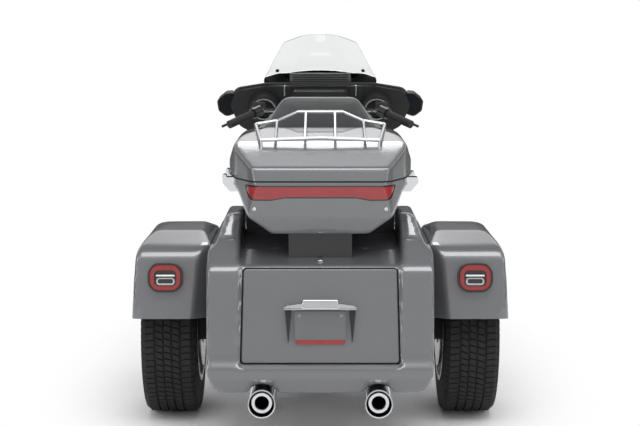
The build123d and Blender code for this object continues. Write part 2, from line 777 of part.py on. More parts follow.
def fender_plan(hand, inset):
    """Fender seen from above."""
    return [
        (hand * (FENDER_IN + inset), REAR_AXLE_Y + 400 - inset, 0),
        (hand * (640 - inset), REAR_AXLE_Y + 400 - inset, 120),
        (hand * (FENDER_OUT + 5 - inset), REAR_AXLE_Y + 150, 250),
        (hand * (FENDER_OUT + 5 - inset), FENDER_BACK_Y + inset, 45),
        (hand * (468 + inset / 2), FENDER_BACK_Y + inset, 14),
        (hand * (FENDER_IN + inset), FENDER_BACK_Y + 80 + inset, 0),
    ]



def fender_block(hand, inset):
    """Whole outer or inner form of one rear fender."""
    with BuildPart() as block:
        extrude(shape(side(0), fender_profile(inset)), amount=hand * 720)
        extrude(shape(behind(REAR_AXLE_Y + 420), fender_outline(hand, inset)), amount=840, mode=Mode.INTERSECT)
        extrude(shape(Plane.XY.offset(100), fender_plan(hand, inset)), amount=700, mode=Mode.INTERSECT)
    return block.part


with BuildPart() as rear_fenders:
    for hand in SIDES:
        add(fender_block(hand, 0))
        add(fender_block(hand, FENDER_WALL), mode=Mode.SUBTRACT)
    with BuildSketch(side(-760)):
        with Locations((REAR_AXLE_Y, REAR_AXLE_Z)):
            Circle(ARCH_R)
    extrude(amount=1520, mode=Mode.SUBTRACT)
rear_fenders.part.label = "rear_fenders"
export_step(rear_fenders.part, "parts/rear_fenders.step")

# Fender lamps: bezel, ring lens and middle on the fenders' back faces
LAMP_X = 559
LAMP_Z = 579
LAMP_W = 128
LAMP_H = 108
LAMP_DEEP = 26
FENDER_FACE_SLOPE = (FENDER_CREASE_Y - FENDER_BACK_Y) / (FENDER_CREASE_Z - FENDER_LOW)


def lamp_plane(hand, out):
    """Plane on the fender's back face at the lamp's centre: local x right, local y up."""
    centre = (hand * LAMP_X, FENDER_BACK_Y + (LAMP_Z - FENDER_LOW) * FENDER_FACE_SLOPE, LAMP_Z)
    return Plane(centre, x_dir=(1, 0, 0), z_dir=(0, -1, FENDER_FACE_SLOPE)).offset(out)


with BuildPart() as fender_lamps:
    for hand in SIDES:
        with BuildSketch(lamp_plane(hand, SEAT_GAP)):
            RectangleRounded(LAMP_W, LAMP_H, 44)
        extrude(amount=LAMP_DEEP, taper=5)
        with BuildSketch(lamp_plane(hand, 12)):
            RectangleRounded(LAMP_W - 14, LAMP_H - 14, 37)
        extrude(amount=LAMP_DEEP, mode=Mode.SUBTRACT)
    for hand in SIDES:
        with BuildSketch(lamp_plane(hand, 12 + SEAT_GAP)):
            RectangleRounded(LAMP_W - 15, LAMP_H - 15, 36.5)
        extrude(amount=LAMP_DEEP - 12, taper=4)
        with BuildSketch(lamp_plane(hand, 18)):
            RectangleRounded(LAMP_W - 62, LAMP_H - 62, 20)
        extrude(amount=LAMP_DEEP, mode=Mode.SUBTRACT)
fender_lamps.part.label = "fender_lamps"
export_step(fender_lamps.part, "parts/fender_lamps.step")

# Swingarm with the axle housing welded in, and the shock absorbers
AXLE_TUBE_R = 34
HUB_IN_X = REAR_TRACK_HALF - 112
HOUSING_END_X = HUB_IN_X - MOVE_GAP
STUB_R = 16
SWING_X = RAIL_X + 25 + SEAT_GAP
SWING_W = 30
with BuildPart() as swingarm:
    add(rod((-HOUSING_END_X, REAR_AXLE_Y, REAR_AXLE_Z), (HOUSING_END_X, REAR_AXLE_Y, REAR_AXLE_Z), AXLE_TUBE_R))
    add(
        spun(
            (0, REAR_AXLE_Y, REAR_AXLE_Z),
            [(-70, 0, 0), (-70, 50, 10), (-40, 84, 20), (40, 84, 20), (70, 50, 10), (70, 0, 0)],
        )
    )
    for hand in SIDES:
        add(
            rod(
                (hand * (HOUSING_END_X - 14), REAR_AXLE_Y, REAR_AXLE_Z),
                (hand * HOUSING_END_X, REAR_AXLE_Y, REAR_AXLE_Z),
                58,
            )
        )
        add(
            rod(
                (hand * (HOUSING_END_X - 2), REAR_AXLE_Y, REAR_AXLE_Z),
                (hand * (REAR_TRACK_HALF + 30), REAR_AXLE_Y, REAR_AXLE_Z),
                STUB_R,
            )
        )
    for hand in SIDES:
        with BuildSketch(side(hand * SWING_X)):
            with BuildLine():
                FilletPolyline(
                    (RAIL_REAR_Y + 34, PIVOT_Z - 32),
                    (RAIL_REAR_Y + 34, PIVOT_Z + 32),
                    (REAR_AXLE_Y - 48, REAR_AXLE_Z + 46),
                    (REAR_AXLE_Y - 48, REAR_AXLE_Z - 46),
                    radius=28,
                    close=True,
                )
            make_face()
        extrude(amount=hand * SWING_W)
        add(rod((hand * (RAIL_X - 20), RAIL_REAR_Y, PIVOT_Z), (hand * (SWING_X + 1), RAIL_REAR_Y, PIVOT_Z), PIVOT_R))
swingarm.part.label = "swingarm"
export_step(swingarm.part, "parts/swingarm.step")

SHOCK_X = SWING_X + SWING_W / 2
SHOCK_R = 25
SHOCK_FOOT = (RAIL_REAR_Y - 65, PIVOT_Z + 34)
SHOCK_TOP = (RAIL_REAR_Y - 30, SEAT_RAIL_Z - 60)
with BuildPart() as shocks:
    for hand in SIDES:
        foot = (hand * SHOCK_X, SHOCK_FOOT[0], SHOCK_FOOT[1])
        top = (hand * SHOCK_X, SHOCK_TOP[0], SHOCK_TOP[1])
        add(rod(foot, top, 13))
        add(rod((foot[0], foot[1] + 6, foot[2] + 40), (top[0], top[1] - 3, top[2] - 26), SHOCK_R))
        add(rod((hand * (RAIL_X + 18), SHOCK_TOP[0], SHOCK_TOP[1]), (hand * (SHOCK_X + 14), SHOCK_TOP[0], SHOCK_TOP[1]), 12))
    add(swingarm.part, mode=Mode.SUBTRACT)
    add(frame.part, mode=Mode.SUBTRACT)
shocks.part.label = "rear_shocks"
export_step(shocks.part, "parts/rear_shocks.step")

# Rear wheels: tyre, spoked rim with hub, brake disc, and the calipers on the housing
DISC_X = HUB_IN_X + 6
REAR_DISC_R = 150
REAR_SPOKES = 7
REAR_SECTION = tyre_section(REAR_RIM_R, REAR_TYRE_R, REAR_TYRE_HALF_W, REAR_TREAD_HALF_W, REAR_SHOULDER)
for hand, name in ((-1, "left"), (1, "right")):
    centre = (hand * REAR_TRACK_HALF, REAR_AXLE_Y, REAR_AXLE_Z)
    with BuildPart() as rear_tyre:
        add(spun(centre, REAR_SECTION))
    rear_tyre.part.label = f"rear_tyre_{name}"
    export_step(rear_tyre.part, f"parts/rear_tyre_{name}.step")

    with BuildPart() as rear_rim:
        add(
            spun(
                centre,
                [
                    (-REAR_TYRE_HALF_W - REAR_FLANGE_THICK, REAR_RIM_R + REAR_FLANGE, 0),
                    (-REAR_TYRE_HALF_W, REAR_RIM_R + REAR_FLANGE, 0),
                    (-REAR_TYRE_HALF_W, REAR_RIM_R - SEAT_GAP, 0),
                    (REAR_TYRE_HALF_W, REAR_RIM_R - SEAT_GAP, 0),
                    (REAR_TYRE_HALF_W, REAR_RIM_R + REAR_FLANGE, 0),
                    (REAR_TYRE_HALF_W + REAR_FLANGE_THICK, REAR_RIM_R + REAR_FLANGE, 0),
                    (REAR_TYRE_HALF_W + REAR_FLANGE_THICK, REAR_RIM_R - 6, 4),
                    (REAR_TYRE_HALF_W - 12, REAR_RIM_R - 22, 8),
                    (-REAR_TYRE_HALF_W + 12, REAR_RIM_R - 14, 8),
                    (-REAR_TYRE_HALF_W - REAR_FLANGE_THICK, REAR_RIM_R - 6, 4),
                ],
            )
        )
        hub_in = hand * HUB_IN_X - centre[0]
        face = hand * 52
        add(
            spun(
                centre,
                [
                    (hub_in, STUB_R + RUN_GAP, 0),
                    (hub_in, 62, 0),
                    (hub_in + hand * 26, 62, 0),
                    (hub_in + hand * 40, 46, 8),
                    (face - hand * 20, 46, 8),
                    (face, 58, 8),
                    (face + hand * 8, 40, 6),
                    (face + hand * 8, STUB_R + RUN_GAP, 0),
                ],
            )
        )
        with BuildSketch(Plane(centre, x_dir=(0, 1, 0), z_dir=(1, 0, 0)).offset(face - hand * 24)):
            with PolarLocations(0, REAR_SPOKES):
                with BuildLine():
                    Polyline((44, -20), (REAR_RIM_R - 16, -14), (REAR_RIM_R - 16, 14), (44, 20), close=True)
                make_face()
        extrude(amount=hand * 22)
        with BuildSketch(Plane((hand * DISC_X, REAR_AXLE_Y, REAR_AXLE_Z), x_dir=(0, 1, 0), z_dir=(1, 0, 0))):
            Circle(REAR_DISC_R)
            Circle(60, mode=Mode.SUBTRACT)
        extrude(amount=3, both=True)
    rear_rim.part.label = f"rear_rim_{name}"
    export_step(rear_rim.part, f"parts/rear_rim_{name}.step")

with BuildPart() as rear_calipers:
    for hand in SIDES:
        with BuildSketch(side(hand * (HOUSING_END_X - 22))):
            with BuildLine():
                FilletPolyline(
                    (REAR_AXLE_Y + 30, REAR_AXLE_Z + 50),
                    (REAR_AXLE_Y - 160, REAR_AXLE_Z + 74),
                    (REAR_AXLE_Y - 172, REAR_AXLE_Z - 20),
                    (REAR_AXLE_Y - 90, REAR_AXLE_Z - 34),
                    (REAR_AXLE_Y + 30, REAR_AXLE_Z - 40),
                    radius=14,
                    close=True,
                )
            make_face()
            with Locations((REAR_AXLE_Y, REAR_AXLE_Z)):
                Circle(AXLE_TUBE_R + SEAT_GAP, mode=Mode.SUBTRACT)
        extrude(amount=hand * (22 - 14 - SEAT_GAP))
        with BuildSketch(side(hand * (HOUSING_END_X - 20))):
            with BuildLine():
                FilletPolyline(
                    (REAR_AXLE_Y - 96, REAR_AXLE_Z + 62),
                    (REAR_AXLE_Y - 150, REAR_AXLE_Z + 72),
                    (REAR_AXLE_Y - 170, REAR_AXLE_Z - 16),
                    (REAR_AXLE_Y - 108, REAR_AXLE_Z - 24),
                    radius=10,
                    close=True,
                )
            make_face()
        extrude(amount=hand * 52)
        with BuildSketch(Plane((hand * DISC_X, REAR_AXLE_Y, REAR_AXLE_Z), x_dir=(0, 1, 0), z_dir=(1, 0, 0))):
            Circle(REAR_DISC_R + 6)
        extrude(amount=8, both=True, mode=Mode.SUBTRACT)
rear_calipers.part.label = "rear_calipers"
export_step(rear_calipers.part, "parts/rear_calipers.step")

# Top case on its carrier above the deck: base, lid, lamp strip, hinges, latches and rack
CASE_BOTTOM_Z = 757
SEAM_Z = 946
SEAM_GAP = 6
CASE_BACK_Y = REAR_AXLE_Y - 590
CASE_FRONT_Y = REAR_AXLE_Y - 30
CASE_WALL = 5
CASE_HALF_W = 334


def case_outline(inset):
    """Top case seen from behind, base and lid in one."""
    return both_halves(
        [
            (190 - inset, 1113 - inset, 90),
            (300 - inset, 1086 - inset, 60),
            (CASE_HALF_W + 2 - inset, 990, 50),
            (CASE_HALF_W - 4 - inset, SEAM_Z, 10),
            (290 - inset, 900, 40),
            (256 - inset, 824, 20),
            (168 - inset / 2, CASE_BOTTOM_Z + inset, 10),
        ]
    )


def case_profile(inset):
    """Top case seen from the right, base and lid in one."""
    return [
        (CASE_BACK_Y + 66 + inset, CASE_BOTTOM_Z + inset, 20),
        (CASE_BACK_Y + 24 + inset, 826, 30),
        (CASE_BACK_Y + inset, SEAM_Z - 10, 12),
        (CASE_BACK_Y + 16 + inset, 996 - inset, 10),
        (CASE_BACK_Y + 190, 1070 - inset, 160),
        (CASE_BACK_Y + 390, 1113 - inset, 120),
        (CASE_FRONT_Y - inset, 1096 - inset, 40),
        (CASE_FRONT_Y - inset, CASE_BOTTOM_Z + inset, 30),
    ]


def case_plan(inset):
    """Top case seen from above."""
    return both_halves(
        [
            (CASE_HALF_W - 50 - inset, CASE_FRONT_Y - inset, 60),
            (CASE_HALF_W + 3 - inset, CASE_FRONT_Y - 200, 200),
            (CASE_HALF_W - 30 - inset, CASE_BACK_Y + 150, 120),
            (235 - inset, CASE_BACK_Y + inset, 60),
        ]
    )


def case_block(inset):
    """Whole outer or inner form of the top case."""
    with BuildPart() as block:
        extrude(shape(side(-CASE_HALF_W - 5), case_profile(inset)), amount=2 * CASE_HALF_W + 10)
        extrude(shape(behind(CASE_FRONT_Y + 5), case_outline(inset)), amount=600, mode=Mode.INTERSECT)
        extrude(shape(Plane.XY.offset(CASE_BOTTOM_Z - 5), case_plan(inset)), amount=380, mode=Mode.INTERSECT)
    return block.part


CASE_FORM = case_block(0)
CASE_SPACE = case_block(CASE_WALL)
LAMP_STRIP_HALF = 262

with BuildPart() as lamp_strip_cut:
    extrude(
        shape(
            behind(CASE_BACK_Y + 150),
            both_halves(
                [
                    (LAMP_STRIP_HALF, 934, 6),
                    (LAMP_STRIP_HALF - 22, 884, 8),
                    (170, 884, 30),
                    (130, 902, 30),
                ]
            ),
        ),
        amount=200,
    )

with BuildPart() as topcase_base:
    add(CASE_FORM)
    add(CASE_SPACE, mode=Mode.SUBTRACT)
    with BuildSketch(Plane.XY.offset(SEAM_Z)):
        Rectangle(1000, 4000)
    extrude(amount=300, mode=Mode.SUBTRACT)
    add(lamp_strip_cut.part, mode=Mode.SUBTRACT)
topcase_base.part.label = "topcase_base"
export_step(topcase_base.part, "parts/topcase_base.step")

with BuildPart() as topcase_lamp:
    add(CASE_FORM)
    add(CASE_SPACE, mode=Mode.SUBTRACT)
    add(lamp_strip_cut.part, mode=Mode.INTERSECT)
topcase_lamp.part.label = "topcase_lamp"
export_step(topcase_lamp.part, "parts/topcase_lamp.step")

# Hinge line of the lid: each pin is held by the base's hardware and runs through an ear of the lid
HINGE_X = CASE_HALF_W + 9
HINGE_Z = SEAM_Z + SEAM_GAP / 2
HINGE_PLACES = (CASE_FRONT_Y - 120, CASE_BACK_Y + 230)
HINGE_LONG = 46
EAR_LONG = 18
PIN_R = 4
EAR_R = 8
EAR_START = (HINGE_LONG - EAR_LONG) / 2

with BuildPart() as topcase_lid:
    add(CASE_FORM)
    with BuildSketch(Plane.XY.offset(SEAM_Z + SEAM_GAP)):
        Rectangle(1000, 4000)
    extrude(amount=-400, mode=Mode.SUBTRACT)
    for place in HINGE_PLACES:
        with BuildSketch(behind(place - EAR_START)):
            with Locations((-HINGE_X, HINGE_Z)):
                Circle(EAR_R)
            with BuildLine():
                Polyline(
                    (-HINGE_X - EAR_R, HINGE_Z),
                    (-HINGE_X - 3, HINGE_Z + 34),
                    (-HINGE_X + 32, HINGE_Z + 34),
                    (-HINGE_X + EAR_R, HINGE_Z + 4),
                    close=True,
                )
            make_face()
        extrude(amount=EAR_LONG)
        with BuildSketch(behind(place)):
            with Locations((-HINGE_X, HINGE_Z)):
                Circle(PIN_R + SEAT_GAP)
        extrude(amount=HINGE_LONG, mode=Mode.SUBTRACT)
    add(CASE_SPACE, mode=Mode.SUBTRACT)
topcase_lid.part.label = "topcase_lid"
export_step(topcase_lid.part, "parts/topcase_lid.step")

CARRIER_HALF_W = 112
with BuildPart() as carrier:
    with BuildSketch(Plane.XY.offset(CASE_BOTTOM_Z - SEAT_GAP)):
        with Locations((0, CASE_BACK_Y + 290)):
            Rectangle(2 * CARRIER_HALF_W, 380)
            with Locations((0, 0)):
                Rectangle(2 * CARRIER_HALF_W - 90, 260, mode=Mode.SUBTRACT)
    extrude(amount=-100)
    add(trunk_form.part, mode=Mode.SUBTRACT)
carrier.part.label = "topcase_carrier"
export_step(carrier.part, "parts/topcase_carrier.step")

# Rack bars on the lid. Columns: across, back from the rear axle, height
RACK_R = 6.5
RACK_REAR = (212, -420, 1080)
RACK_FRONT_CORNER = (240, -170, 1120)
RACK_SHOULDER = (160, -150, 1132)
RACK_CROWN = (84, -150, 1165)
RACK_BARS = (54, 160)


def rack_point(hand, spot, lift):
    """Place on the rack, on one side."""
    return (hand * spot[0], REAR_AXLE_Y + spot[1], spot[2] + lift)


with BuildPart() as rack:
    add(
        tube(
            [
                rack_point(1, RACK_REAR, 0),
                rack_point(1, RACK_FRONT_CORNER, 0),
                rack_point(1, RACK_SHOULDER, 0),
                rack_point(1, RACK_CROWN, 0),
                rack_point(-1, RACK_CROWN, 0),
                rack_point(-1, RACK_SHOULDER, 0),
                rack_point(-1, RACK_FRONT_CORNER, 0),
                rack_point(-1, RACK_REAR, 0),
            ],
            RACK_R,
            12,
        )
    )
    add(
        tube(
            [rack_point(1, RACK_REAR, 0), rack_point(0, RACK_REAR, 8), rack_point(-1, RACK_REAR, 0)],
            RACK_R,
            600,
        )
    )
    for hand in SIDES:
        add(
            rod(
                (hand * RACK_BARS[0], REAR_AXLE_Y + RACK_REAR[1], RACK_REAR[2] + 4),
                (hand * RACK_BARS[0], REAR_AXLE_Y + RACK_CROWN[1], RACK_CROWN[2]),
                RACK_R - 1.5,
            )
        )
        add(
            rod(
                (hand * RACK_BARS[1], REAR_AXLE_Y + RACK_REAR[1], RACK_REAR[2] + 1),
                (hand * RACK_BARS[1], REAR_AXLE_Y + RACK_SHOULDER[1], RACK_SHOULDER[2]),
                RACK_R - 1.5,
            )
        )
        for spot in (RACK_REAR, RACK_FRONT_CORNER):
            add(rod(rack_point(hand, spot, 2), (hand * (spot[0] - 8), REAR_AXLE_Y + spot[1], 1000), RACK_R - 0.5))
    add(CASE_FORM, mode=Mode.SUBTRACT)
    with BuildSketch(Plane.XY.offset(1035)):
        Rectangle(1000, 4000)
    extrude(amount=-400, mode=Mode.SUBTRACT)
rack.part.label = "topcase_rack"
export_step(rack.part, "parts/topcase_rack.step")

# Seat and backrest: plain cushions with flat undersides
SEAT_BOTTOM_Z = SEAT_RAIL_Z + SEAT_RAIL_R + SEAT_GAP
SEAT_HALF_W = 190
with BuildPart() as seat:
    extrude(
        shape(
            side(-SEAT_HALF_W),
            [
                (TANK_REAR_Y - SEAT_GAP, SEAT_BOTTOM_Z, 0),
                (TANK_REAR_Y - SEAT_GAP, 795, 20),
                (-60, 752, 90),
                (-250, 748, 60),
                (-330, 835, 50),
                (-480, 842, 90),
                (REAR_AXLE_Y + 20, 850, 20),
                (REAR_AXLE_Y + 20, DECK_FRONT_Z + SEAT_GAP, 0),
                (TRUNK_FRONT_Y + 8, DECK_FRONT_Z + SEAT_GAP, 0),
                (TRUNK_FRONT_Y + 8, SEAT_BOTTOM_Z, 0),
            ],
        ),
        amount=2 * SEAT_HALF_W,
    )
    extrude(
        shape(
            Plane.XY.offset(600),
            both_halves(
                [
                    (90, TANK_REAR_Y + 2, 20),
                    (175, -60, 120),
                    (SEAT_HALF_W, -230, 70),
                    (150, -330, 60),
                    (178, -420, 90),
                    (150, REAR_AXLE_Y + 15, 60),
                ]
            ),
        ),
        amount=300,
        mode=Mode.INTERSECT,
    )
seat.part.label = "seat"
export_step(seat.part, "parts/seat.step")

BACKREST_FRONT_Y = REAR_AXLE_Y + 85
BACKREST_BACK_Y = CASE_FRONT_Y + SEAT_GAP
with BuildPart() as backrest:
    extrude(
        shape(
            behind(BACKREST_FRONT_Y + 130),
            both_halves(
                [
                    (148, 1222, 50),
                    (205, 1130, 60),
                    (262, 1070, 30),
                    (262, 935, 30),
                    (150, 905, 30),
                    (140, 862, 20),
                ]
            ),
        ),
        amount=300,
    )
    extrude(
        shape(
            Plane.XY.offset(800),
            both_halves(
                [
                    (215, BACKREST_FRONT_Y + 120, 20),
                    (262, BACKREST_FRONT_Y + 120, 20),
                    (262, BACKREST_BACK_Y, 20),
                ]
            )[:3]
            + [
                (-262, BACKREST_BACK_Y, 20),
                (-262, BACKREST_FRONT_Y + 120, 20),
                (-215, BACKREST_FRONT_Y + 120, 20),
                (-175, BACKREST_FRONT_Y, 60),
                (175, BACKREST_FRONT_Y, 60),
            ],
        ),
        amount=500,
        mode=Mode.INTERSECT,
    )
    with BuildSketch(Plane.XY.offset(SEAM_Z - 4)):
        with Locations((0, CASE_FRONT_Y)):
            Rectangle(900, 2 * MOVE_GAP)
    extrude(amount=400, mode=Mode.SUBTRACT)
backrest.part.label = "passenger_backrest"
export_step(backrest.part, "parts/passenger_backrest.step")

# Front wheel
FRONT_CENTRE = (0, FRONT_AXLE_Y, FRONT_AXLE_Z)
FRONT_SPOKES = 9
FRONT_HUB_HALF = 62
AXLE_R = 13
AXLE_BORE_R = 8
FRONT_DISC_R = 150
FRONT_DISC_X = FRONT_HUB_HALF
FRONT_SECTION = tyre_section(FRONT_RIM_R, FRONT_TYRE_R, FRONT_TYRE_HALF_W, FRONT_TREAD_HALF_W, FRONT_SHOULDER)
with BuildPart() as front_tyre:
    add(spun(FRONT_CENTRE, FRONT_SECTION))
front_tyre.part.label = "front_tyre"
export_step(front_tyre.part, "parts/front_tyre.step")

with BuildPart() as front_rim:
    add(
        spun(
            FRONT_CENTRE,
            [
                (-FRONT_TYRE_HALF_W - FRONT_FLANGE_THICK, FRONT_RIM_R + FRONT_FLANGE, 0),
                (-FRONT_TYRE_HALF_W, FRONT_RIM_R + FRONT_FLANGE, 0),
                (-FRONT_TYRE_HALF_W, FRONT_RIM_R - SEAT_GAP, 0),
                (FRONT_TYRE_HALF_W, FRONT_RIM_R - SEAT_GAP, 0),
                (FRONT_TYRE_HALF_W, FRONT_RIM_R + FRONT_FLANGE, 0),
                (FRONT_TYRE_HALF_W + FRONT_FLANGE_THICK, FRONT_RIM_R + FRONT_FLANGE, 0),
                (FRONT_TYRE_HALF_W + FRONT_FLANGE_THICK, FRONT_RIM_R - 8, 4),
                (0, FRONT_RIM_R - 20, 30),
                (-FRONT_TYRE_HALF_W - FRONT_FLANGE_THICK, FRONT_RIM_R - 8, 4),
            ],
        )
    )
    add(
        spun(
            FRONT_CENTRE,
            [
                (-FRONT_HUB_HALF, AXLE_R + RUN_GAP, 0),
                (-FRONT_HUB_HALF, 48, 0),
                (-FRONT_HUB_HALF + 16, 48, 6),
                (-20, 34, 10),
                (20, 34, 10),
                (FRONT_HUB_HALF - 16, 48, 6),
                (FRONT_HUB_HALF, 48, 0),
                (FRONT_HUB_HALF, AXLE_R + RUN_GAP, 0),
            ],
        )
    )
    with BuildSketch(Plane(FRONT_CENTRE, x_dir=(0, 1, 0), z_dir=(1, 0, 0)).offset(-13)):
        with PolarLocations(0, FRONT_SPOKES):
            with BuildLine():
                Polyline((30, -13), (FRONT_RIM_R - 14, -9), (FRONT_RIM_R - 14, 9), (30, 13), close=True)
            make_face()
    extrude(amount=26)
    for hand in SIDES:
        with BuildSketch(Plane((hand * FRONT_DISC_X, FRONT_AXLE_Y, FRONT_AXLE_Z), x_dir=(0, 1, 0), z_dir=(1, 0, 0))):
            Circle(FRONT_DISC_R)
            Circle(40, mode=Mode.SUBTRACT)
        extrude(amount=2.5, both=True)
front_rim.part.label = "front_rim"
export_step(front_rim.part, "parts/front_rim.step")

# Fork: legs, clamps and stem, with the hollow front axle through its feet
LEG_X = 122
LEG_R = 24
SLIDER_R = 31
LEG_TOP = 1062
SLIDER_TOP = 700
CLAMP_TALL = 34
WAIST_X = HEAD_R + 24
FAIRING_BACK = 95
DASH_THICK = 22
DASH_BACK = FAIRING_BACK - DASH_THICK
BRACKET_UP = HEAD_HIGH + MOVE_GAP + CLAMP_TALL - 4
BRACKET_TALL = 24
DASH_FOOT = BRACKET_UP + 36
with BuildPart() as fork:
    for hand in SIDES:
        add(rod(fork_point(hand * LEG_X, AXLE_HEIGHT, FORK_OFFSET), fork_point(hand * LEG_X, LEG_TOP, FORK_OFFSET), LEG_R))
        add(
            rod(
                fork_point(hand * LEG_X, AXLE_HEIGHT - 30, FORK_OFFSET),
                fork_point(hand * LEG_X, SLIDER_TOP, FORK_OFFSET),
                SLIDER_R,
            )
        )
    for level in (HEAD_LOW - MOVE_GAP - CLAMP_TALL, HEAD_HIGH + MOVE_GAP):
        with BuildSketch(fork_level(level)):
            with BuildLine():
                FilletPolyline(
                    (LEG_X + 38, FORK_OFFSET - 36),
                    (LEG_X + 38, FORK_OFFSET + 36),
                    (-LEG_X - 38, FORK_OFFSET + 36),
                    (-LEG_X - 38, FORK_OFFSET - 36),
                    (-WAIST_X, 6),
                    (-HEAD_R, 2 - HEAD_R),
                    (HEAD_R, 2 - HEAD_R),
                    (WAIST_X, 6),
                    radius=[26, 26, 26, 26, 20, 26, 26, 20],
                    close=True,
                )
            make_face()
        extrude(amount=CLAMP_TALL)
    add(rod(fork_point(0, HEAD_LOW - MOVE_GAP - 5, 0), fork_point(0, HEAD_HIGH + MOVE_GAP + 5, 0), STEM_R))
    with BuildSketch(fork_level(BRACKET_UP)):
        with BuildLine():
            FilletPolyline(
                (50, -20),
                (50, DASH_BACK - 8),
                (-50, DASH_BACK - 8),
                (-50, -20),
                radius=[12, 0, 0, 12],
                close=True,
            )
        make_face()
    extrude(amount=BRACKET_TALL)
    with BuildSketch(fork_face(DASH_BACK - SEAT_GAP)):
        with Locations((0, DASH_FOOT - 5)):
            RectangleRounded(200, 2 * (DASH_FOOT - 5 - BRACKET_UP), 8)
    extrude(amount=-14)
    add(
        rod((-LEG_X - 60, FRONT_AXLE_Y, FRONT_AXLE_Z), (LEG_X + 60, FRONT_AXLE_Y, FRONT_AXLE_Z), AXLE_R + SEAT_GAP),
        mode=Mode.SUBTRACT,
    )
fork.part.label = "fork"
export_step(fork.part, "parts/fork.step")

AXLE_HALF = LEG_X + SLIDER_R + 8
with BuildPart() as front_axle:
    add(rod((-AXLE_HALF, FRONT_AXLE_Y, FRONT_AXLE_Z), (AXLE_HALF, FRONT_AXLE_Y, FRONT_AXLE_Z), AXLE_R))
    add(
        rod((-AXLE_HALF - 1, FRONT_AXLE_Y, FRONT_AXLE_Z), (AXLE_HALF + 1, FRONT_AXLE_Y, FRONT_AXLE_Z), AXLE_BORE_R),
        mode=Mode.SUBTRACT,
    )
front_axle.part.label = "front_axle"
export_step(front_axle.part, "parts/front_axle.step")

FENDER_FRONT_R = FRONT_TYRE_R + 16
with BuildPart() as front_fender:
    add(
        spun(
            FRONT_CENTRE,
            [
                (-76, FRONT_TYRE_R - 40, 0),
                (-80, FRONT_TYRE_R - 40, 0),
                (-80, FENDER_FRONT_R - 10, 18),
                (-45, FENDER_FRONT_R + 14, 30),
                (45, FENDER_FRONT_R + 14, 30),
                (80, FENDER_FRONT_R - 10, 18),
                (80, FRONT_TYRE_R - 40, 0),
                (76, FRONT_TYRE_R - 40, 0),
                (76, FENDER_FRONT_R - 12, 15),
                (43, FENDER_FRONT_R + 10, 26),
                (-43, FENDER_FRONT_R + 10, 26),
                (-76, FENDER_FRONT_R - 12, 15),
            ],
        )
    )
    with BuildSketch(side(-200)):
        with BuildLine():
            Polyline(
                (FRONT_AXLE_Y, FRONT_AXLE_Z),
                (FRONT_AXLE_Y + 420, FRONT_AXLE_Z + 170),
                (FRONT_AXLE_Y + 420, FRONT_AXLE_Z - 500),
                (FRONT_AXLE_Y - 460, FRONT_AXLE_Z - 500),
                (FRONT_AXLE_Y - 460, FRONT_AXLE_Z - 60),
                close=True,
            )
        make_face()
    extrude(amount=400, mode=Mode.SUBTRACT)
    for hand in SIDES:
        add(
            rod(
                fork_point(hand * 78, AXLE_HEIGHT + FENDER_FRONT_R - 34, FORK_OFFSET),
                fork_point(hand * LEG_X, AXLE_HEIGHT + FENDER_FRONT_R - 34, FORK_OFFSET),
                10,
            )
        )
    add(fork.part, mode=Mode.SUBTRACT)
front_fender.part.label = "front_fender"
export_step(front_fender.part, "parts/front_fender.step")

with BuildPart() as front_calipers:
    for hand in SIDES:
        with BuildSketch(side(hand * (FRONT_DISC_X - 14))):
            with BuildLine():
                FilletPolyline(
                    (FRONT_AXLE_Y - 88, FRONT_AXLE_Z + 86),
                    (FRONT_AXLE_Y - 120, FRONT_AXLE_Z + 128),
                    (FRONT_AXLE_Y - 178, FRONT_AXLE_Z + 60),
                    (FRONT_AXLE_Y - 150, FRONT_AXLE_Z + 20),
                    radius=10,
                    close=True,
                )
            make_face()
        extrude(amount=hand * 44)
        add(
            rod(
                (hand * (FRONT_DISC_X + 16), FRONT_AXLE_Y - 112, FRONT_AXLE_Z + 100),
                (hand * LEG_X, FRONT_AXLE_Y - 60, FRONT_AXLE_Z + 130),
                11,
            )
        )
        with BuildSketch(Plane((hand * FRONT_DISC_X, FRONT_AXLE_Y, FRONT_AXLE_Z), x_dir=(0, 1, 0), z_dir=(1, 0, 0))):
            Circle(FRONT_DISC_R + 6)
        extrude(amount=8, both=True, mode=Mode.SUBTRACT)
    add(fork.part, mode=Mode.SUBTRACT)
front_calipers.part.label = "front_calipers"
export_step(front_calipers.part, "parts/front_calipers.step")

# Fairing that turns with the fork. Columns: half width, height along the fork, corner radius,
# way from there to the inner face (1 up, -1 down)
FAIRING_MID = 205
FAIRING_FRONT = 295
FAIRING_WALL = 4
FAIRING_SECTIONS = {
    FAIRING_BACK: [
        (250, 1308, 60, -1),
        (395, 1282, 50, -1),
        (425, 1205, 45, 0),
        (385, 1098, 60, 1),
        (295, 1040, 60, 1),
        (140, 888, 60, 1),
    ],
    FAIRING_MID: [
        (215, 1226, 60, -1),
        (330, 1202, 50, -1),
        (362, 1120, 45, 0),
        (330, 1035, 60, 1),
        (250, 965, 60, 1),
        (120, 822, 50, 1),
    ],
    FAIRING_FRONT: [
        (95, 1068, 40, -1),
        (150, 1040, 35, -1),
        (172, 985, 30, 0),
        (165, 920, 30, 1),
        (140, 860, 30, 1),
        (85, 806, 30, 1),
    ],
}


def fairing_skin(inset):
    """Solid form of the fairing through its three sections, or its inner face."""
    with BuildPart() as skin:
        for ahead, half in FAIRING_SECTIONS.items():
            rows = [(across - inset, up + inset * way, corner) for across, up, corner, way in half]
            with BuildSketch(fork_face(ahead - inset)):
                with BuildLine():
                    FilletPolyline(
                        *[row[:2] for row in both_halves(rows)],
                        radius=[row[2] for row in both_halves(rows)],
                        close=True,
                    )
                make_face()
        loft()
    return skin.part


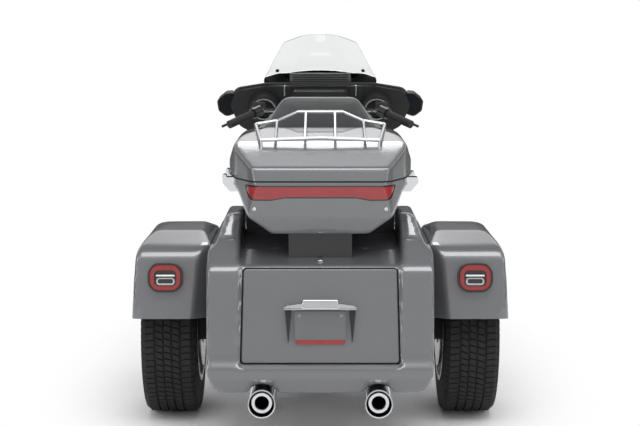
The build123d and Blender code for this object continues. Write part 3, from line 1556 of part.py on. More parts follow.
HEADLAMP_R = 90
HEADLAMP_UP = 935
with BuildPart() as outer_fairing:
    add(fairing_skin(0))
    add(fairing_skin(FAIRING_WALL), mode=Mode.SUBTRACT)
    with BuildSketch(fork_face(FAIRING_BACK - 20)):
        with Locations((0, HEADLAMP_UP)):
            Circle(HEADLAMP_R)
    extrude(amount=300, mode=Mode.SUBTRACT)
outer_fairing.part.label = "outer_fairing"
export_step(outer_fairing.part, "parts/outer_fairing.step")

# Inner fairing: the dash, with a speaker pod on each side and the screen between them
POD_X = 262
POD_UP = 1200
POD_R = 74
POD_DEEP = 40
SCREEN_W = 205
SCREEN_H = 118
SCREEN_UP = 1206
with BuildPart() as inner_fairing:
    rows = [(across - FAIRING_WALL, up - 8, corner) for across, up, corner, way in FAIRING_SECTIONS[FAIRING_BACK][:5]]
    dash_rows = both_halves(rows + [(190, 1036, 15), (168, DASH_FOOT, 15)])
    extrude(shape(fork_face(FAIRING_BACK - SEAT_GAP), dash_rows), amount=-DASH_THICK)
    for hand in SIDES:
        with BuildSketch(fork_face(DASH_BACK)):
            with Locations((hand * POD_X, POD_UP)):
                Circle(POD_R)
        extrude(amount=-POD_DEEP, taper=8)
        with BuildSketch(fork_face(DASH_BACK - POD_DEEP)):
            with Locations((hand * POD_X, POD_UP)):
                Circle(POD_R - 20)
        extrude(amount=14, mode=Mode.SUBTRACT)
    with BuildSketch(fork_face(DASH_BACK)):
        with Locations((0, SCREEN_UP)):
            RectangleRounded(SCREEN_W + 60, SCREEN_H + 50, 18)
    extrude(amount=-30, taper=6)
    with BuildSketch(fork_face(DASH_BACK - 30)):
        with Locations((0, SCREEN_UP)):
            RectangleRounded(SCREEN_W, SCREEN_H, 8)
    extrude(amount=6, mode=Mode.SUBTRACT)
inner_fairing.part.label = "inner_fairing"
export_step(inner_fairing.part, "parts/inner_fairing.step")

# Windscreen: a bent sheet that leans back along the fork
SCREEN_R = 430
SCREEN_AHEAD = 190
SCREEN_THICK = 4
SCREEN_FOOT = 1225
SCREEN_TOP_UP = 1512
with BuildPart() as windscreen:
    with BuildSketch(fork_level(SCREEN_FOOT)):
        with Locations((0, SCREEN_AHEAD - SCREEN_R)):
            Circle(SCREEN_R)
            Circle(SCREEN_R - SCREEN_THICK, mode=Mode.SUBTRACT)
    extrude(amount=SCREEN_TOP_UP - SCREEN_FOOT)
    extrude(
        shape(
            fork_face(FAIRING_BACK - 60),
            both_halves(
                [
                    (70, SCREEN_TOP_UP - 3, 120),
                    (168, SCREEN_TOP_UP - 28, 30),
                    (262, SCREEN_FOOT + 92, 25),
                    (240, SCREEN_FOOT + 2, 20),
                ]
            ),
        ),
        amount=300,
        mode=Mode.INTERSECT,
    )
    add(fairing_skin(0), mode=Mode.SUBTRACT)
windscreen.part.label = "windscreen"
export_step(windscreen.part, "parts/windscreen.step")

with BuildPart() as headlamp:
    with BuildSketch(fork_face(FAIRING_FRONT - 60)):
        with Locations((0, HEADLAMP_UP)):
            Circle(HEADLAMP_R - SEAT_GAP)
    extrude(amount=66)
    with BuildSketch(fork_face(FAIRING_FRONT + SEAT_GAP)):
        with Locations((0, HEADLAMP_UP)):
            Circle(HEADLAMP_R + 9)
            Circle(HEADLAMP_R - 1, mode=Mode.SUBTRACT)
    extrude(amount=7)
    with BuildSketch(fork_face(FAIRING_FRONT + 6)):
        with Locations((0, HEADLAMP_UP)):
            Circle(HEADLAMP_R - 8)
    extrude(amount=12, taper=50)
headlamp.part.label = "headlamp"
export_step(headlamp.part, "parts/headlamp.step")

# Lamp bracket under the fairing, with a passing lamp on each side
PASS_LAMP_X = 205
PASS_LAMP_R = 57
PASS_LAMP_UP = 800
PASS_LAMP_AHEAD = 150
with BuildPart() as passing_lamps:
    for hand in SIDES:
        with BuildSketch(fork_face(PASS_LAMP_AHEAD - 50)):
            with Locations((-hand * PASS_LAMP_X, PASS_LAMP_UP)):
                Circle(PASS_LAMP_R - 16)
        with BuildSketch(fork_face(PASS_LAMP_AHEAD)):
            with Locations((-hand * PASS_LAMP_X, PASS_LAMP_UP)):
                Circle(PASS_LAMP_R)
        loft()
        with BuildSketch(fork_face(PASS_LAMP_AHEAD)):
            with Locations((-hand * PASS_LAMP_X, PASS_LAMP_UP)):
                Circle(PASS_LAMP_R)
        extrude(amount=16, taper=8)
    add(
        tube(
            [
                fork_point(-PASS_LAMP_X, PASS_LAMP_UP, PASS_LAMP_AHEAD - 40),
                fork_point(-LEG_X - 15, SLIDER_TOP + 60, FORK_OFFSET + LEG_R + 14),
                fork_point(LEG_X + 15, SLIDER_TOP + 60, FORK_OFFSET + LEG_R + 14),
                fork_point(PASS_LAMP_X, PASS_LAMP_UP, PASS_LAMP_AHEAD - 40),
            ],
            13,
            20,
        )
    )
    for hand in SIDES:
        add(
            rod(
                fork_point(hand * LEG_X, SLIDER_TOP + 60, FORK_OFFSET),
                fork_point(hand * LEG_X, SLIDER_TOP + 60, FORK_OFFSET + LEG_R + 14),
                10,
            )
        )
    add(fork.part, mode=Mode.SUBTRACT)
passing_lamps.part.label = "passing_lamps"
export_step(passing_lamps.part, "parts/passing_lamps.step")

# Handlebar, grips and hand controls. Columns of the bar's route: across, forward, up
BAR_R = 12.7
GRIP_R = 18
RISER_FOOT = BRACKET_UP + BRACKET_TALL
RISER_UP = RISER_FOOT + 38
BAR_MIDDLE = fork_point(0, RISER_UP, -2)
GRIP_IN = (302, 352, 1088)
GRIP_OUT = (402, 262, 1046)
BAR_KNEE = (110, BAR_MIDDLE[1], BAR_MIDDLE[2])
BAR_RISE = (205, BAR_MIDDLE[1] - 90, BAR_MIDDLE[2] + 96)


def grip_place(share):
    """Place along the grip's line, from its inner end (0) to its outer end (1), on the right."""
    return tuple(a + share * (b - a) for a, b in zip(GRIP_IN, GRIP_OUT))


def on_side(hand, spot):
    """The same place on the left or the right."""
    return (hand * spot[0], spot[1], spot[2])


with BuildPart() as handlebar:
    add(
        tube(
            [
                on_side(-1, grip_place(0.98)),
                on_side(-1, grip_place(-0.35)),
                on_side(-1, BAR_RISE),
                on_side(-1, BAR_KNEE),
                on_side(1, BAR_KNEE),
                on_side(1, BAR_RISE),
                on_side(1, grip_place(-0.35)),
                on_side(1, grip_place(0.98)),
            ],
            BAR_R,
            34,
        )
    )
    for hand in SIDES:
        add(rod(fork_point(hand * 30, RISER_FOOT + SEAT_GAP, -2), fork_point(hand * 30, RISER_UP, -2), 17))
        with BuildSketch(side(hand * 30 - 16)):
            with Locations((BAR_MIDDLE[1], BAR_MIDDLE[2])):
                Circle(24)
        extrude(amount=32)
handlebar.part.label = "handlebar"
export_step(handlebar.part, "parts/handlebar.step")

with BuildPart() as grips:
    for hand in SIDES:
        add(rod(on_side(hand, grip_place(0)), on_side(hand, grip_place(1)), GRIP_R))
    add(handlebar.part, mode=Mode.SUBTRACT)
grips.part.label = "grips"
export_step(grips.part, "parts/grips.step")

LEVER_R = 6
with BuildPart() as hand_controls:
    for hand in SIDES:
        add(rod(on_side(hand, grip_place(-0.32)), on_side(hand, grip_place(-0.01)), 26))
        knuckle = grip_place(-0.2)
        tip = grip_place(1.12)
        reach = (knuckle[0] + 8, knuckle[1] + 52, knuckle[2] + 4)
        lever_mid = (grip_place(0.4)[0] + 20, grip_place(0.4)[1] + 62, grip_place(0.4)[2] - 6)
        lever_tip = (tip[0] + 22, tip[1] + 58, tip[2] - 6)
        add(rod(on_side(hand, knuckle), on_side(hand, reach), 13))
        add(tube([on_side(hand, reach), on_side(hand, lever_mid), on_side(hand, lever_tip)], LEVER_R, 60))
        reservoir = (knuckle[0] - 6, knuckle[1] + 40, knuckle[2] + 12)
        with BuildSketch(Plane(on_side(hand, reservoir))):
            RectangleRounded(58, 44, 8)
        extrude(amount=30)
    add(handlebar.part, mode=Mode.SUBTRACT)
hand_controls.part.label = "hand_controls"
export_step(hand_controls.part, "parts/hand_controls.step")

# Mirrors at the ends of the fairing's wings
MIRROR_AHEAD = 80
MIRROR_DEEP = 46
with BuildPart() as mirrors:
    for hand in SIDES:
        extrude(
            shape(
                fork_face(MIRROR_AHEAD),
                [
                    (-hand * 396, 1262, 14),
                    (-hand * 440, 1258, 22),
                    (-hand * 482, 1222, 24),
                    (-hand * 476, 1166, 26),
                    (-hand * 440, 1134, 26),
                    (-hand * 400, 1150, 16),
                ],
            ),
            amount=MIRROR_DEEP,
            taper=12,
        )
        add(
            rod(
                fork_point(hand * 440, 1215, MIRROR_AHEAD + 20),
                fork_point(hand * 380, 1215, FAIRING_BACK + 35),
                14,
            )
        )
    add(fairing_skin(0), mode=Mode.SUBTRACT)
    add(inner_fairing.part, mode=Mode.SUBTRACT)
mirrors.part.label = "mirrors"
export_step(mirrors.part, "parts/mirrors.step")

# Engine guard, lower fairings, side covers and footboards
GUARD_Y = RAIL_FRONT_Y + 5
GUARD_R = 16
GUARD_HALF = 325
with BuildPart() as engine_guard:
    add(
        tube(
            [
                (-RAIL_X, GUARD_Y, 190),
                (-GUARD_HALF + 60, GUARD_Y, 230),
                (-GUARD_HALF, GUARD_Y, 420),
                (-GUARD_HALF + 40, GUARD_Y, 560),
                (-RAIL_X, GUARD_Y + 50, 600),
                (0, GUARD_Y + 64, 600),
                (RAIL_X, GUARD_Y + 50, 600),
                (GUARD_HALF - 40, GUARD_Y, 560),
                (GUARD_HALF, GUARD_Y, 420),
                (GUARD_HALF - 60, GUARD_Y, 230),
                (RAIL_X, GUARD_Y, 190),
            ],
            GUARD_R,
            40,
        )
    )
    add(frame.part, mode=Mode.SUBTRACT)
engine_guard.part.label = "engine_guard"
export_step(engine_guard.part, "parts/engine_guard.step")

LOWER_DEEP = 90
LOWER_FRONT_Y = GUARD_Y + LOWER_DEEP
with BuildPart() as lower_plan:
    for hand in SIDES:
        extrude(
            shape(
                Plane.XY.offset(200),
                [
                    (hand * 135, LOWER_FRONT_Y, 20),
                    (hand * 240, LOWER_FRONT_Y, 60),
                    (hand * 350, GUARD_Y + 30, 20),
                    (hand * 350, GUARD_Y - 4, 0),
                    (hand * 135, GUARD_Y - 4, 0),
                ],
            ),
            amount=600,
        )
with BuildPart() as lower_fairings:
    for hand in SIDES:
        extrude(
            shape(
                behind(LOWER_FRONT_Y),
                [
                    (hand * 140, 690, 30),
                    (hand * 288, 640, 60),
                    (hand * 345, 470, 60),
                    (hand * 318, 300, 50),
                    (hand * 200, 262, 40),
                    (hand * 140, 420, 60),
                ],
            ),
            amount=LOWER_DEEP + 10,
        )
    add(lower_plan.part, mode=Mode.INTERSECT)
    add(engine_guard.part, mode=Mode.SUBTRACT)
    add(frame.part, mode=Mode.SUBTRACT)
lower_fairings.part.label = "lower_fairings"
export_step(lower_fairings.part, "parts/lower_fairings.step")

# Side covers below the seat, each on a seat rail
COVER_X = SEAT_RAIL_X + SEAT_RAIL_R + SEAT_GAP
COVER_DEEP = 46
with BuildPart() as side_covers:
    for hand in SIDES:
        extrude(
            shape(
                side(hand * COVER_X),
                [
                    (-60, SEAT_RAIL_Z + 8, 20),
                    (-300, SEAT_RAIL_Z + 8, 20),
                    (-296, 520, 40),
                    (-230, 430, 40),
                    (-96, 440, 40),
                    (-40, 560, 30),
                ],
            ),
            amount=hand * COVER_DEEP,
            taper=14,
        )
    add(frame.part, mode=Mode.SUBTRACT)
    add(shocks.part, mode=Mode.SUBTRACT)
side_covers.part.label = "side_covers"
export_step(side_covers.part, "parts/side_covers.step")

# Footboards on brackets from the lower rails. Columns: front, back, height, bracket's place
BOARD_THICK = 10
BOARD_IN = 208
BOARD_OUT = 322
BOARD_POST_X = SILENCER_X + PIPE_R + 26
BOARDS = ((400, 120, 262, 270), (-60, -200, 300, -125))
with BuildPart() as footboards:
    for front, back, height, bracket_y in BOARDS:
        for hand in SIDES:
            with BuildSketch(Plane.XY.offset(height)):
                with Locations((hand * (BOARD_IN + BOARD_OUT) / 2, (front + back) / 2)):
                    RectangleRounded(BOARD_OUT - BOARD_IN, front - back, 36)
            extrude(amount=BOARD_THICK)
            add(
                tube(
                    [
                        (hand * RAIL_X, bracket_y, RAIL_Z),
                        (hand * BOARD_POST_X, bracket_y, RAIL_Z),
                        (hand * BOARD_POST_X, bracket_y, height + 4),
                    ],
                    9,
                    12,
                )
            )
    add(frame.part, mode=Mode.SUBTRACT)
footboards.part.label = "footboards"
export_step(footboards.part, "parts/footboards.step")

# Top case hinges on the left and latches on the right, all carried by the base
with BuildPart() as case_hardware:
    for place in HINGE_PLACES:
        for hand in SIDES:
            extrude(
                shape(
                    behind(place),
                    [
                        (hand * (HINGE_X + 6), SEAM_Z + 1, 4),
                        (hand * (HINGE_X - 40), SEAM_Z + 1, 0),
                        (hand * (HINGE_X - 60), SEAM_Z - 50, 0),
                        (hand * (HINGE_X - 20), SEAM_Z - 50, 6),
                        (hand * (HINGE_X + 6), SEAM_Z - 20, 8),
                    ],
                ),
                amount=HINGE_LONG,
            )
        with BuildSketch(behind(place)):
            with Locations((-HINGE_X, HINGE_Z)):
                Circle(EAR_R)
        extrude(amount=HINGE_LONG)
        with BuildSketch(behind(place - EAR_START + 1)):
            with Locations((-HINGE_X, HINGE_Z + 40)):
                Rectangle(60, 2 * (EAR_R + 2 + 40))
        extrude(amount=EAR_LONG + 2, mode=Mode.SUBTRACT)
        with BuildSketch(behind(place)):
            with Locations((-HINGE_X, HINGE_Z)):
                Circle(PIN_R)
        extrude(amount=HINGE_LONG)
    add(CASE_FORM, mode=Mode.SUBTRACT)
case_hardware.part.label = "topcase_hardware"
export_step(case_hardware.part, "parts/topcase_hardware.step")
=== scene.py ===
"""Dresses the packed three-wheeled touring motorcycle: panels, tyres, lamps, cushions and the studio."""

import json
from math import ceil, cos, pi, radians, sin, tan

import bpy
from bpy.props import FloatProperty, FloatVectorProperty, IntProperty, PointerProperty
from mathutils import Matrix, Vector


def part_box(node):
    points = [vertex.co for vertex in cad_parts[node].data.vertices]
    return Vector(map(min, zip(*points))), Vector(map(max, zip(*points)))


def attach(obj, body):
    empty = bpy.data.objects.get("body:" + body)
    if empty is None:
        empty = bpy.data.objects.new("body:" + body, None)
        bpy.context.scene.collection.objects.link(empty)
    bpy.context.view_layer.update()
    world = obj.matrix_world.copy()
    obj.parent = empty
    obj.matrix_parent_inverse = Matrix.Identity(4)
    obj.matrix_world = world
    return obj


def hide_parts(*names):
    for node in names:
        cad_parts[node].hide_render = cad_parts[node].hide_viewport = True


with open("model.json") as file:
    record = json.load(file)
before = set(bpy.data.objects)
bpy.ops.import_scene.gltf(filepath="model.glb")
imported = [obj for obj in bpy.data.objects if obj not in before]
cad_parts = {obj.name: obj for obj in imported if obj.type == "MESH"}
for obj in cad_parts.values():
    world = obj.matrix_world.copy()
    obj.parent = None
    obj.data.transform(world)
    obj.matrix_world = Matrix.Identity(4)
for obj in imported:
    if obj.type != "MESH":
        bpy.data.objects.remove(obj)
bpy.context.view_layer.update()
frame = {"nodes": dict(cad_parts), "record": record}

bl_info = {
    "name": "Three-wheeled tourer",
    "version": (1, 0, 0),
    "blender": (4, 5, 0),
    "location": "3D View > Sidebar > Tourer",
    "description": "Panels, tyres, lamps, chrome and cushions of a three-wheeled touring motorcycle",
    "category": "Object",
}

MM = 0.001
SIDES = (-1, 1)


def middle(node):
    """Middle of a CAD node, in millimetres."""
    low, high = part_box(node)
    return (low + high) / 2 / MM


def linear(code):
    """Linear colour from an sRGB hex code."""
    shares = [int(code[place:place + 2], 16) / 255 for place in (1, 3, 5)]
    return [s / 12.92 if s <= 0.04045 else ((s + 0.055) / 1.055) ** 2.4 for s in shares]


REAR = middle("rear_tyre_right")
FRONT = middle("front_tyre")
RAKE = radians(26)
TRAIL = 100


def placed(origin, across, out):
    """Matrix of a flat drawing: its origin in millimetres, its across and its outward direction."""
    x = Vector(across).normalized()
    z = Vector(out).normalized()
    y = z.cross(x)
    turn = Matrix((x, y, z)).transposed().to_4x4()
    return Matrix.Translation(Vector(origin) * MM) @ turn


# Drawing planes: seen from the right, from behind, from above, and from behind with the fork's lean
SIDE = placed((0, 0, 0), (0, 1, 0), (1, 0, 0))
BEHIND = placed((0, 0, 0), (1, 0, 0), (0, -1, 0))
ABOVE = placed((0, 0, 0), (1, 0, 0), (0, 0, 1))
FORK_FOOT = (0, FRONT.y + TRAIL, 0)
FORK_BACK = placed(FORK_FOOT, (1, 0, 0), (0, -cos(RAKE), -sin(RAKE)))

# Trunk door's plane, and the fender lamps' planes on the fenders' back faces
LEAN = radians(6.9)
DOOR_TOP = (-1224, 642)
DOOR_LOW = (-1224 - 327 * tan(LEAN), 315)
DOOR_TALL = 163.5 / cos(LEAN)
DOOR_MIDDLE = (0, (DOOR_TOP[0] + DOOR_LOW[0]) / 2, 478.5)
DOOR = placed(DOOR_MIDDLE, (1, 0, 0), (0, -cos(LEAN), sin(LEAN)))
LAMP_SLOPE = 31 / 251
LAMP_UP = 579
LAMP_BACK = -1045 + (LAMP_UP - 430) * LAMP_SLOPE

# Each silencer's middle line, out from the trunk's middle and up
SILENCER = (203, 185)


# Settings that a user may change

class PanelSettings(bpy.types.PropertyGroup):
    """Painted panels"""

    paint: FloatVectorProperty(
        name="Paint", description="Grey under the clear coat", subtype="COLOR", size=3,
        default=linear("#6a6b6e"))
    wall: FloatProperty(
        name="Wall", description="Thickness of the fenders and cases", unit="LENGTH", default=0.005)
    fineness: FloatProperty(
        name="Fineness", description="Mesh size of the pressed panels", unit="LENGTH", default=0.0065)


class TyreSettings(bpy.types.PropertyGroup):
    """Tyres"""

    rubber: FloatVectorProperty(
        name="Rubber", description="Black of the tyres", subtype="COLOR", size=3,
        default=linear("#1f1f20"))
    pitches: IntProperty(
        name="Pitches", description="Tread blocks round a tyre", default=80, min=40, max=120)
    groove: FloatProperty(name="Groove", description="Depth of the tread", unit="LENGTH", default=0.007)


class LampSettings(bpy.types.PropertyGroup):
    """Lamps"""

    lens: FloatVectorProperty(
        name="Red lens", description="Colour of the red lenses", subtype="COLOR", size=3,
        default=linear("#8c1519"))


class CushionSettings(bpy.types.PropertyGroup):
    """Seat and backrest"""

    vinyl: FloatVectorProperty(
        name="Vinyl", description="Colour of the seat cover", subtype="COLOR", size=3,
        default=linear("#464748"))
    swell: FloatProperty(
        name="Swell", description="Most that the cover may bulge", unit="LENGTH", default=0.008)


class StageSettings(bpy.types.PropertyGroup):
    """Studio"""

    lens: FloatProperty(name="Lens", description="Focal length on a 36 mm sensor", default=86.06)
    distance: FloatProperty(
        name="Distance", description="Camera behind the rear axle", unit="LENGTH", default=5.84)
    height: FloatProperty(name="Height", description="Camera above the floor", unit="LENGTH", default=1.50)
    tilt: FloatProperty(name="Tilt", description="Camera's look down", subtype="ANGLE", default=radians(7.15))
    softbox: FloatProperty(name="Softbox", description="Power of the large lamp, in watts", default=135.0)


# Modelling helpers

def only(*objects):
    """Leaves just these objects selected, the first one active."""
    bpy.ops.object.select_all(action="DESELECT")
    for thing in objects:
        thing.select_set(True)
    if objects:
        bpy.context.view_layer.objects.active = objects[0]


def edit(thing, kind="VERT"):
    """Opens one mesh in edit mode with all of it selected."""
    only(thing)
    bpy.ops.object.mode_set(mode="EDIT")
    bpy.ops.mesh.select_mode(type=kind)
    bpy.ops.mesh.select_all(action="SELECT")


def leave():
    """Goes back to object mode."""
    bpy.ops.object.mode_set(mode="OBJECT")


def applied(thing, kind, **values):
    """Adds a modifier with these values and applies it."""
    only(thing)
    modifier = thing.modifiers.new("step", kind)
    for key, value in values.items():
        setattr(modifier, key, value)
    bpy.ops.object.modifier_apply(modifier=modifier.name)
    return thing


def twin(thing):
    """A second object with its own mesh."""
    other = thing.copy()
    other.data = thing.data.copy()
    bpy.context.scene.collection.objects.link(other)
    return other


def joined(name, things):
    """One mesh out of several."""
    only(*things)
    if len(things) > 1:
        bpy.ops.object.join()
    things[0].name = name
    return things[0]


def closed(thing, distance=0.00002):
    """Merges doubles and turns the faces outwards."""
    edit(thing)
    bpy.ops.mesh.remove_doubles(threshold=distance)
    bpy.ops.mesh.normals_make_consistent(inside=False)
    leave()
    return thing


def rounded(rows, step=10):
    """Points of a closed outline with round corners. Columns: across, up, corner radius, in millimetres."""
    points = []
    for index, (across, up, radius) in enumerate(rows):
        here = Vector((across, up))
        back = Vector(rows[index - 1][:2]) - here
        onward = Vector(rows[(index + 1) % len(rows)][:2]) - here
        if not radius:
            points.append((across, up))
            continue
        corner = back.angle(onward)
        reach = radius / tan(corner / 2)
        start = here + back.normalized() * reach
        end = here + onward.normalized() * reach
        centre = here + (back.normalized() + onward.normalized()).normalized() * radius / sin(corner / 2)
        first, last = start - centre, end - centre
        sweep = first.angle(last)
        count = max(2, ceil((180 - corner * 180 / pi) / step))
        for number in range(count + 1):
            share = number / count
            arm = first.lerp(last, share)
            if sweep > 1e-4:
                arm = (sin((1 - share) * sweep) * first + sin(share * sweep) * last) / sin(sweep)
            points.append(tuple(centre + arm))
    return points


def mirrored(half):
    """Outline that is alike on both sides, from its right half listed from top to bottom."""
    return half + [(-across, up, radius) for across, up, radius in reversed(half)]


def panel(wide, tall, corner, across=0, up=0):
    """Rows of a rectangle with round corners."""
    return [
        (across + wide / 2, up + tall / 2, corner),
        (across + wide / 2, up - tall / 2, corner),
        (across - wide / 2, up - tall / 2, corner),
        (across - wide / 2, up + tall / 2, corner),
    ]


def loop(name, points, place, level, fill="NGON"):
    """A drawn outline on a plane, from a circle whose points are set on it."""
    only()
    bpy.ops.mesh.primitive_circle_add(vertices=len(points), fill_type=fill)
    drawn = bpy.context.object
    drawn.name = name
    for vertex, (across, up) in zip(drawn.data.vertices, points):
        vertex.co = (across * MM, up * MM, level * MM)
    drawn.matrix_world = place
    bpy.ops.object.transform_apply(location=True, rotation=True, scale=True)
    return drawn


def prism(name, rows, place, low, high, step=10):
    """An outline pulled straight from one level of its plane to another."""
    block = loop(name, rounded(rows, step), place, low)
    edit(block)
    way = place.to_3x3() @ Vector((0, 0, (high - low) * MM))
    bpy.ops.mesh.extrude_region_move(TRANSFORM_OT_translate={"value": way})
    bpy.ops.mesh.select_all(action="SELECT")
    bpy.ops.mesh.normals_make_consistent(inside=False)
    leave()
    return block


def combined(thing, other, operation, keep=False):
    """Cuts, meets or joins one closed mesh with another."""
    applied(thing, "BOOLEAN", operation=operation, object=other, solver="MANIFOLD")
    if not keep:
        bpy.data.objects.remove(other)
    return thing


def cut(thing, rows, place, low, high, step=10):
    """Takes an outline's prism out of a closed mesh."""
    return combined(thing, prism("cutter", rows, place, low, high, step), "DIFFERENCE")


def bored(thing, radius, place, low, high):
    """Takes a round bar out of a closed mesh."""
    return combined(thing, drum("cutter", radius, place, low, high, 64), "DIFFERENCE")


def form(name, views):
    """Solid that has these outlines. Columns: rows, plane, lowest and highest level on it."""
    blocks = [prism(f"{name}_{number}", *view) for number, view in enumerate(views)]
    for block in blocks[1:]:
        combined(blocks[0], block, "INTERSECT")
    blocks[0].name = name
    return blocks[0]


def softened(thing, grain, passes, factor=0.5):
    """Rounds every edge of a form as pressed or moulded panels are."""
    applied(thing, "REMESH", mode="VOXEL", voxel_size=grain)
    return applied(thing, "SMOOTH", factor=factor, iterations=passes)


def shell(name, outer, inner, grain, passes):
    """Pressed shell between two forms, both rounded alike. Each form is a mesh that this uses up."""
    softened(outer, grain, passes)
    combined(outer, softened(inner, grain, passes), "DIFFERENCE")
    outer.name = name
    return outer


def struck(thing, start, way):
    """Place on a mesh that a straight line meets first, in millimetres, with the outward direction there."""
    met, spot, normal, _ = thing.ray_cast(Vector(start) * MM, Vector(way))
    if not met:
        raise RuntimeError(f"no surface of {thing.name} from {start}")
    return spot / MM, normal


def bevelled(thing, width, segments=3, angle=35):
    """Breaks the sharp edges."""
    return applied(
        thing, "BEVEL", width=width * MM, segments=segments, limit_method="ANGLE", angle_limit=radians(angle))


def spun(name, rows, centre, steps):
    """Ring about a line along X through a centre. Columns: across, out from the line, corner radius."""
    ring = loop(name, rounded(rows, 15), placed(centre, (1, 0, 0), (0, -1, 0)), 0, "NOTHING")
    edit(ring)
    bpy.ops.mesh.spin(steps=steps, angle=2 * pi, center=Vector(centre) * MM, axis=(1, 0, 0))
    leave()
    return closed(ring)


def drum(name, radius, place, low, high, vertices=48):
    """Round bar, square to a plane and from one of its levels to another."""
    only()
    bpy.ops.mesh.primitive_cylinder_add(vertices=vertices, radius=radius * MM, depth=(high - low) * MM)
    bar = bpy.context.object
    bar.name = name
    bar.matrix_world = place @ Matrix.Translation((0, 0, (low + high) / 2 * MM))
    bpy.ops.object.transform_apply(location=True, rotation=True, scale=True)
    return bar


def shifted(place, across, up):
    """The same plane with its origin moved on it, in millimetres."""
    return place @ Matrix.Translation((across * MM, up * MM, 0))


def bolt(name, radius, place, low, tall):
    """Round screw head with a domed edge and a hexagon socket."""
    head = bevelled(drum(name, radius, place, low, low + tall, 24), min(radius * 0.3, tall * 0.6), 3, 50)
    socket = drum(name + "_socket", radius * 0.5, place, low + tall * 0.45, low + tall + 2, 6)
    return combined(head, socket, "DIFFERENCE")


def piece(made, name, body, finish, slot, *nodes, angle=35):
    """Smooths a finished mesh, or several as one, and gives it its name, finish, body and nodes. The slot is
    not used.
    """
    thing = joined(name, made if isinstance(made, list) else [made])
    only(thing)
    bpy.ops.object.shade_smooth_by_angle(angle=radians(angle))
    applied(thing, "WEIGHTED_NORMAL", keep_sharp=True)
    thing.data.materials.clear()
    thing.data.materials.append(FINISHES[finish]())
    for face in thing.data.polygons:
        face.material_index = 0
    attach(thing, body)
    if nodes:
        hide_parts(*nodes)
    return thing


# Materials

def add_node(tree, kind, values=None, links=None):
    """Adds one node, sets its inputs and properties, and links its inputs from other nodes' outputs."""
    node = tree.nodes.new(kind)
    for key, value in (values or {}).items():
        if isinstance(key, int) or key in node.inputs:
            node.inputs[key].default_value = value
        else:
            setattr(node, key, value)
    for key, source in (links or {}).items():
        tree.links.new(source, node.inputs[key])
    return node


def blank(name, sockets):
    """New material with constants set on its shader, and its tree, shader and object coordinates."""
    made = bpy.data.materials.new(name)
    made.use_nodes = True
    tree = made.node_tree
    shader = tree.nodes["Principled BSDF"]
    for socket, value in sockets.items():
        shader.inputs[socket].default_value = value
    place = add_node(tree, "ShaderNodeTexCoord").outputs["Object"]
    return made, tree, shader, place


def grained(tree, shader, place, size, height, rough, tint=None, patch=0.12, detail=3.0):
    """Fine relief of one real size in millimetres, with roughness and tint that drift in larger patches."""
    relief = add_node(
        tree, "ShaderNodeTexNoise", {"Scale": 1 / (size * MM), "Detail": detail}, {"Vector": place})
    drift = add_node(tree, "ShaderNodeTexNoise", {"Scale": 1 / patch, "Detail": 4.0}, {"Vector": place})
    bump = add_node(
        tree, "ShaderNodeBump", {"Strength": 1.0, "Distance": height * MM}, {"Height": relief.outputs["Fac"]})
    spread = add_node(
        tree, "ShaderNodeMapRange",
        {"From Min": 0.3, "From Max": 0.7, "To Min": rough[0], "To Max": rough[1]},
        {"Value": drift.outputs["Fac"]})
    tree.links.new(bump.outputs["Normal"], shader.inputs["Normal"])
    tree.links.new(spread.outputs["Result"], shader.inputs["Roughness"])
    if tint:
        mixed = add_node(
            tree, "ShaderNodeMix", {"data_type": "RGBA", 6: (*tint[0], 1), 7: (*tint[1], 1)},
            {0: drift.outputs["Fac"]})
        tree.links.new(mixed.outputs[2], shader.inputs["Base Color"])
    return relief, drift, bump


def toned(colour, share):
    """Colour made lighter or darker by a share."""
    return [min(1.0, channel * share) for channel in colour]


MADE = {}


def once(maker):
    """Keeps one material for each maker."""
    def given():
        if maker.__name__ not in MADE:
            MADE[maker.__name__] = maker()
        return MADE[maker.__name__]
    return given


@once
def enamel():
    """Automotive enamel under clear coat: deep mid grey, fine flake, soft orange peel."""
    colour = list(bpy.context.scene.tourer_panels.paint)
    made, tree, shader, place = blank(
        "clear_coated_enamel", {"Metallic": 0.4, "Coat Weight": 1.0, "Coat Roughness": 0.04, "Coat IOR": 1.6})
    # Real flake is 0.05 mm; 1.5 mm is the finest that shows
    grained(tree, shader, place, 1.5, 0.003, (0.3, 0.36), (toned(colour, 0.96), toned(colour, 1.05)), 0.5)
    peel = add_node(tree, "ShaderNodeTexNoise", {"Scale": 1 / (12 * MM), "Detail": 1.0}, {"Vector": place})
    skin = add_node(
        tree, "ShaderNodeBump", {"Strength": 0.5, "Distance": 0.00006}, {"Height": peel.outputs["Fac"]})
    tree.links.new(skin.outputs["Normal"], shader.inputs["Coat Normal"])
    return made


@once
def chrome():
    """Polished chrome plate: mirror bright, with faint wiping haze."""
    made, tree, shader, place = blank("polished_chrome_plate", {"Metallic": 1.0})
    grained(tree, shader, place, 25, 0.01, (0.035, 0.1), (linear("#cfd1d4"), linear("#dcdde0")), 0.06, 1.0)
    return made


@once
def black_steel():
    """Gloss black powder coat over steel: slight ripple."""
    made, tree, shader, place = blank("gloss_black_powder_coat", {"Coat Weight": 0.4, "Coat Roughness": 0.12})
    grained(tree, shader, place, 2.2, 0.03, (0.28, 0.4), (linear("#0e0e0f"), linear("#151516")))
    return made


@once
def black_plastic():
    """Injection-moulded ABS, spark-eroded grain: satin black."""
    made, tree, shader, place = blank("grained_black_abs", {"IOR": 1.53})
    grained(tree, shader, place, 1.4, 0.05, (0.42, 0.55), (linear("#141516"), linear("#1b1c1d")))
    return made


@once
def gloss_plastic():
    """Gloss black acrylic: lamp housings and screen surrounds."""
    made, tree, shader, place = blank(
        "gloss_black_acrylic", {"IOR": 1.49, "Coat Weight": 1.0, "Coat Roughness": 0.03})
    grained(tree, shader, place, 20, 0.01, (0.06, 0.14), (linear("#0a0a0b"), linear("#101011")))
    return made


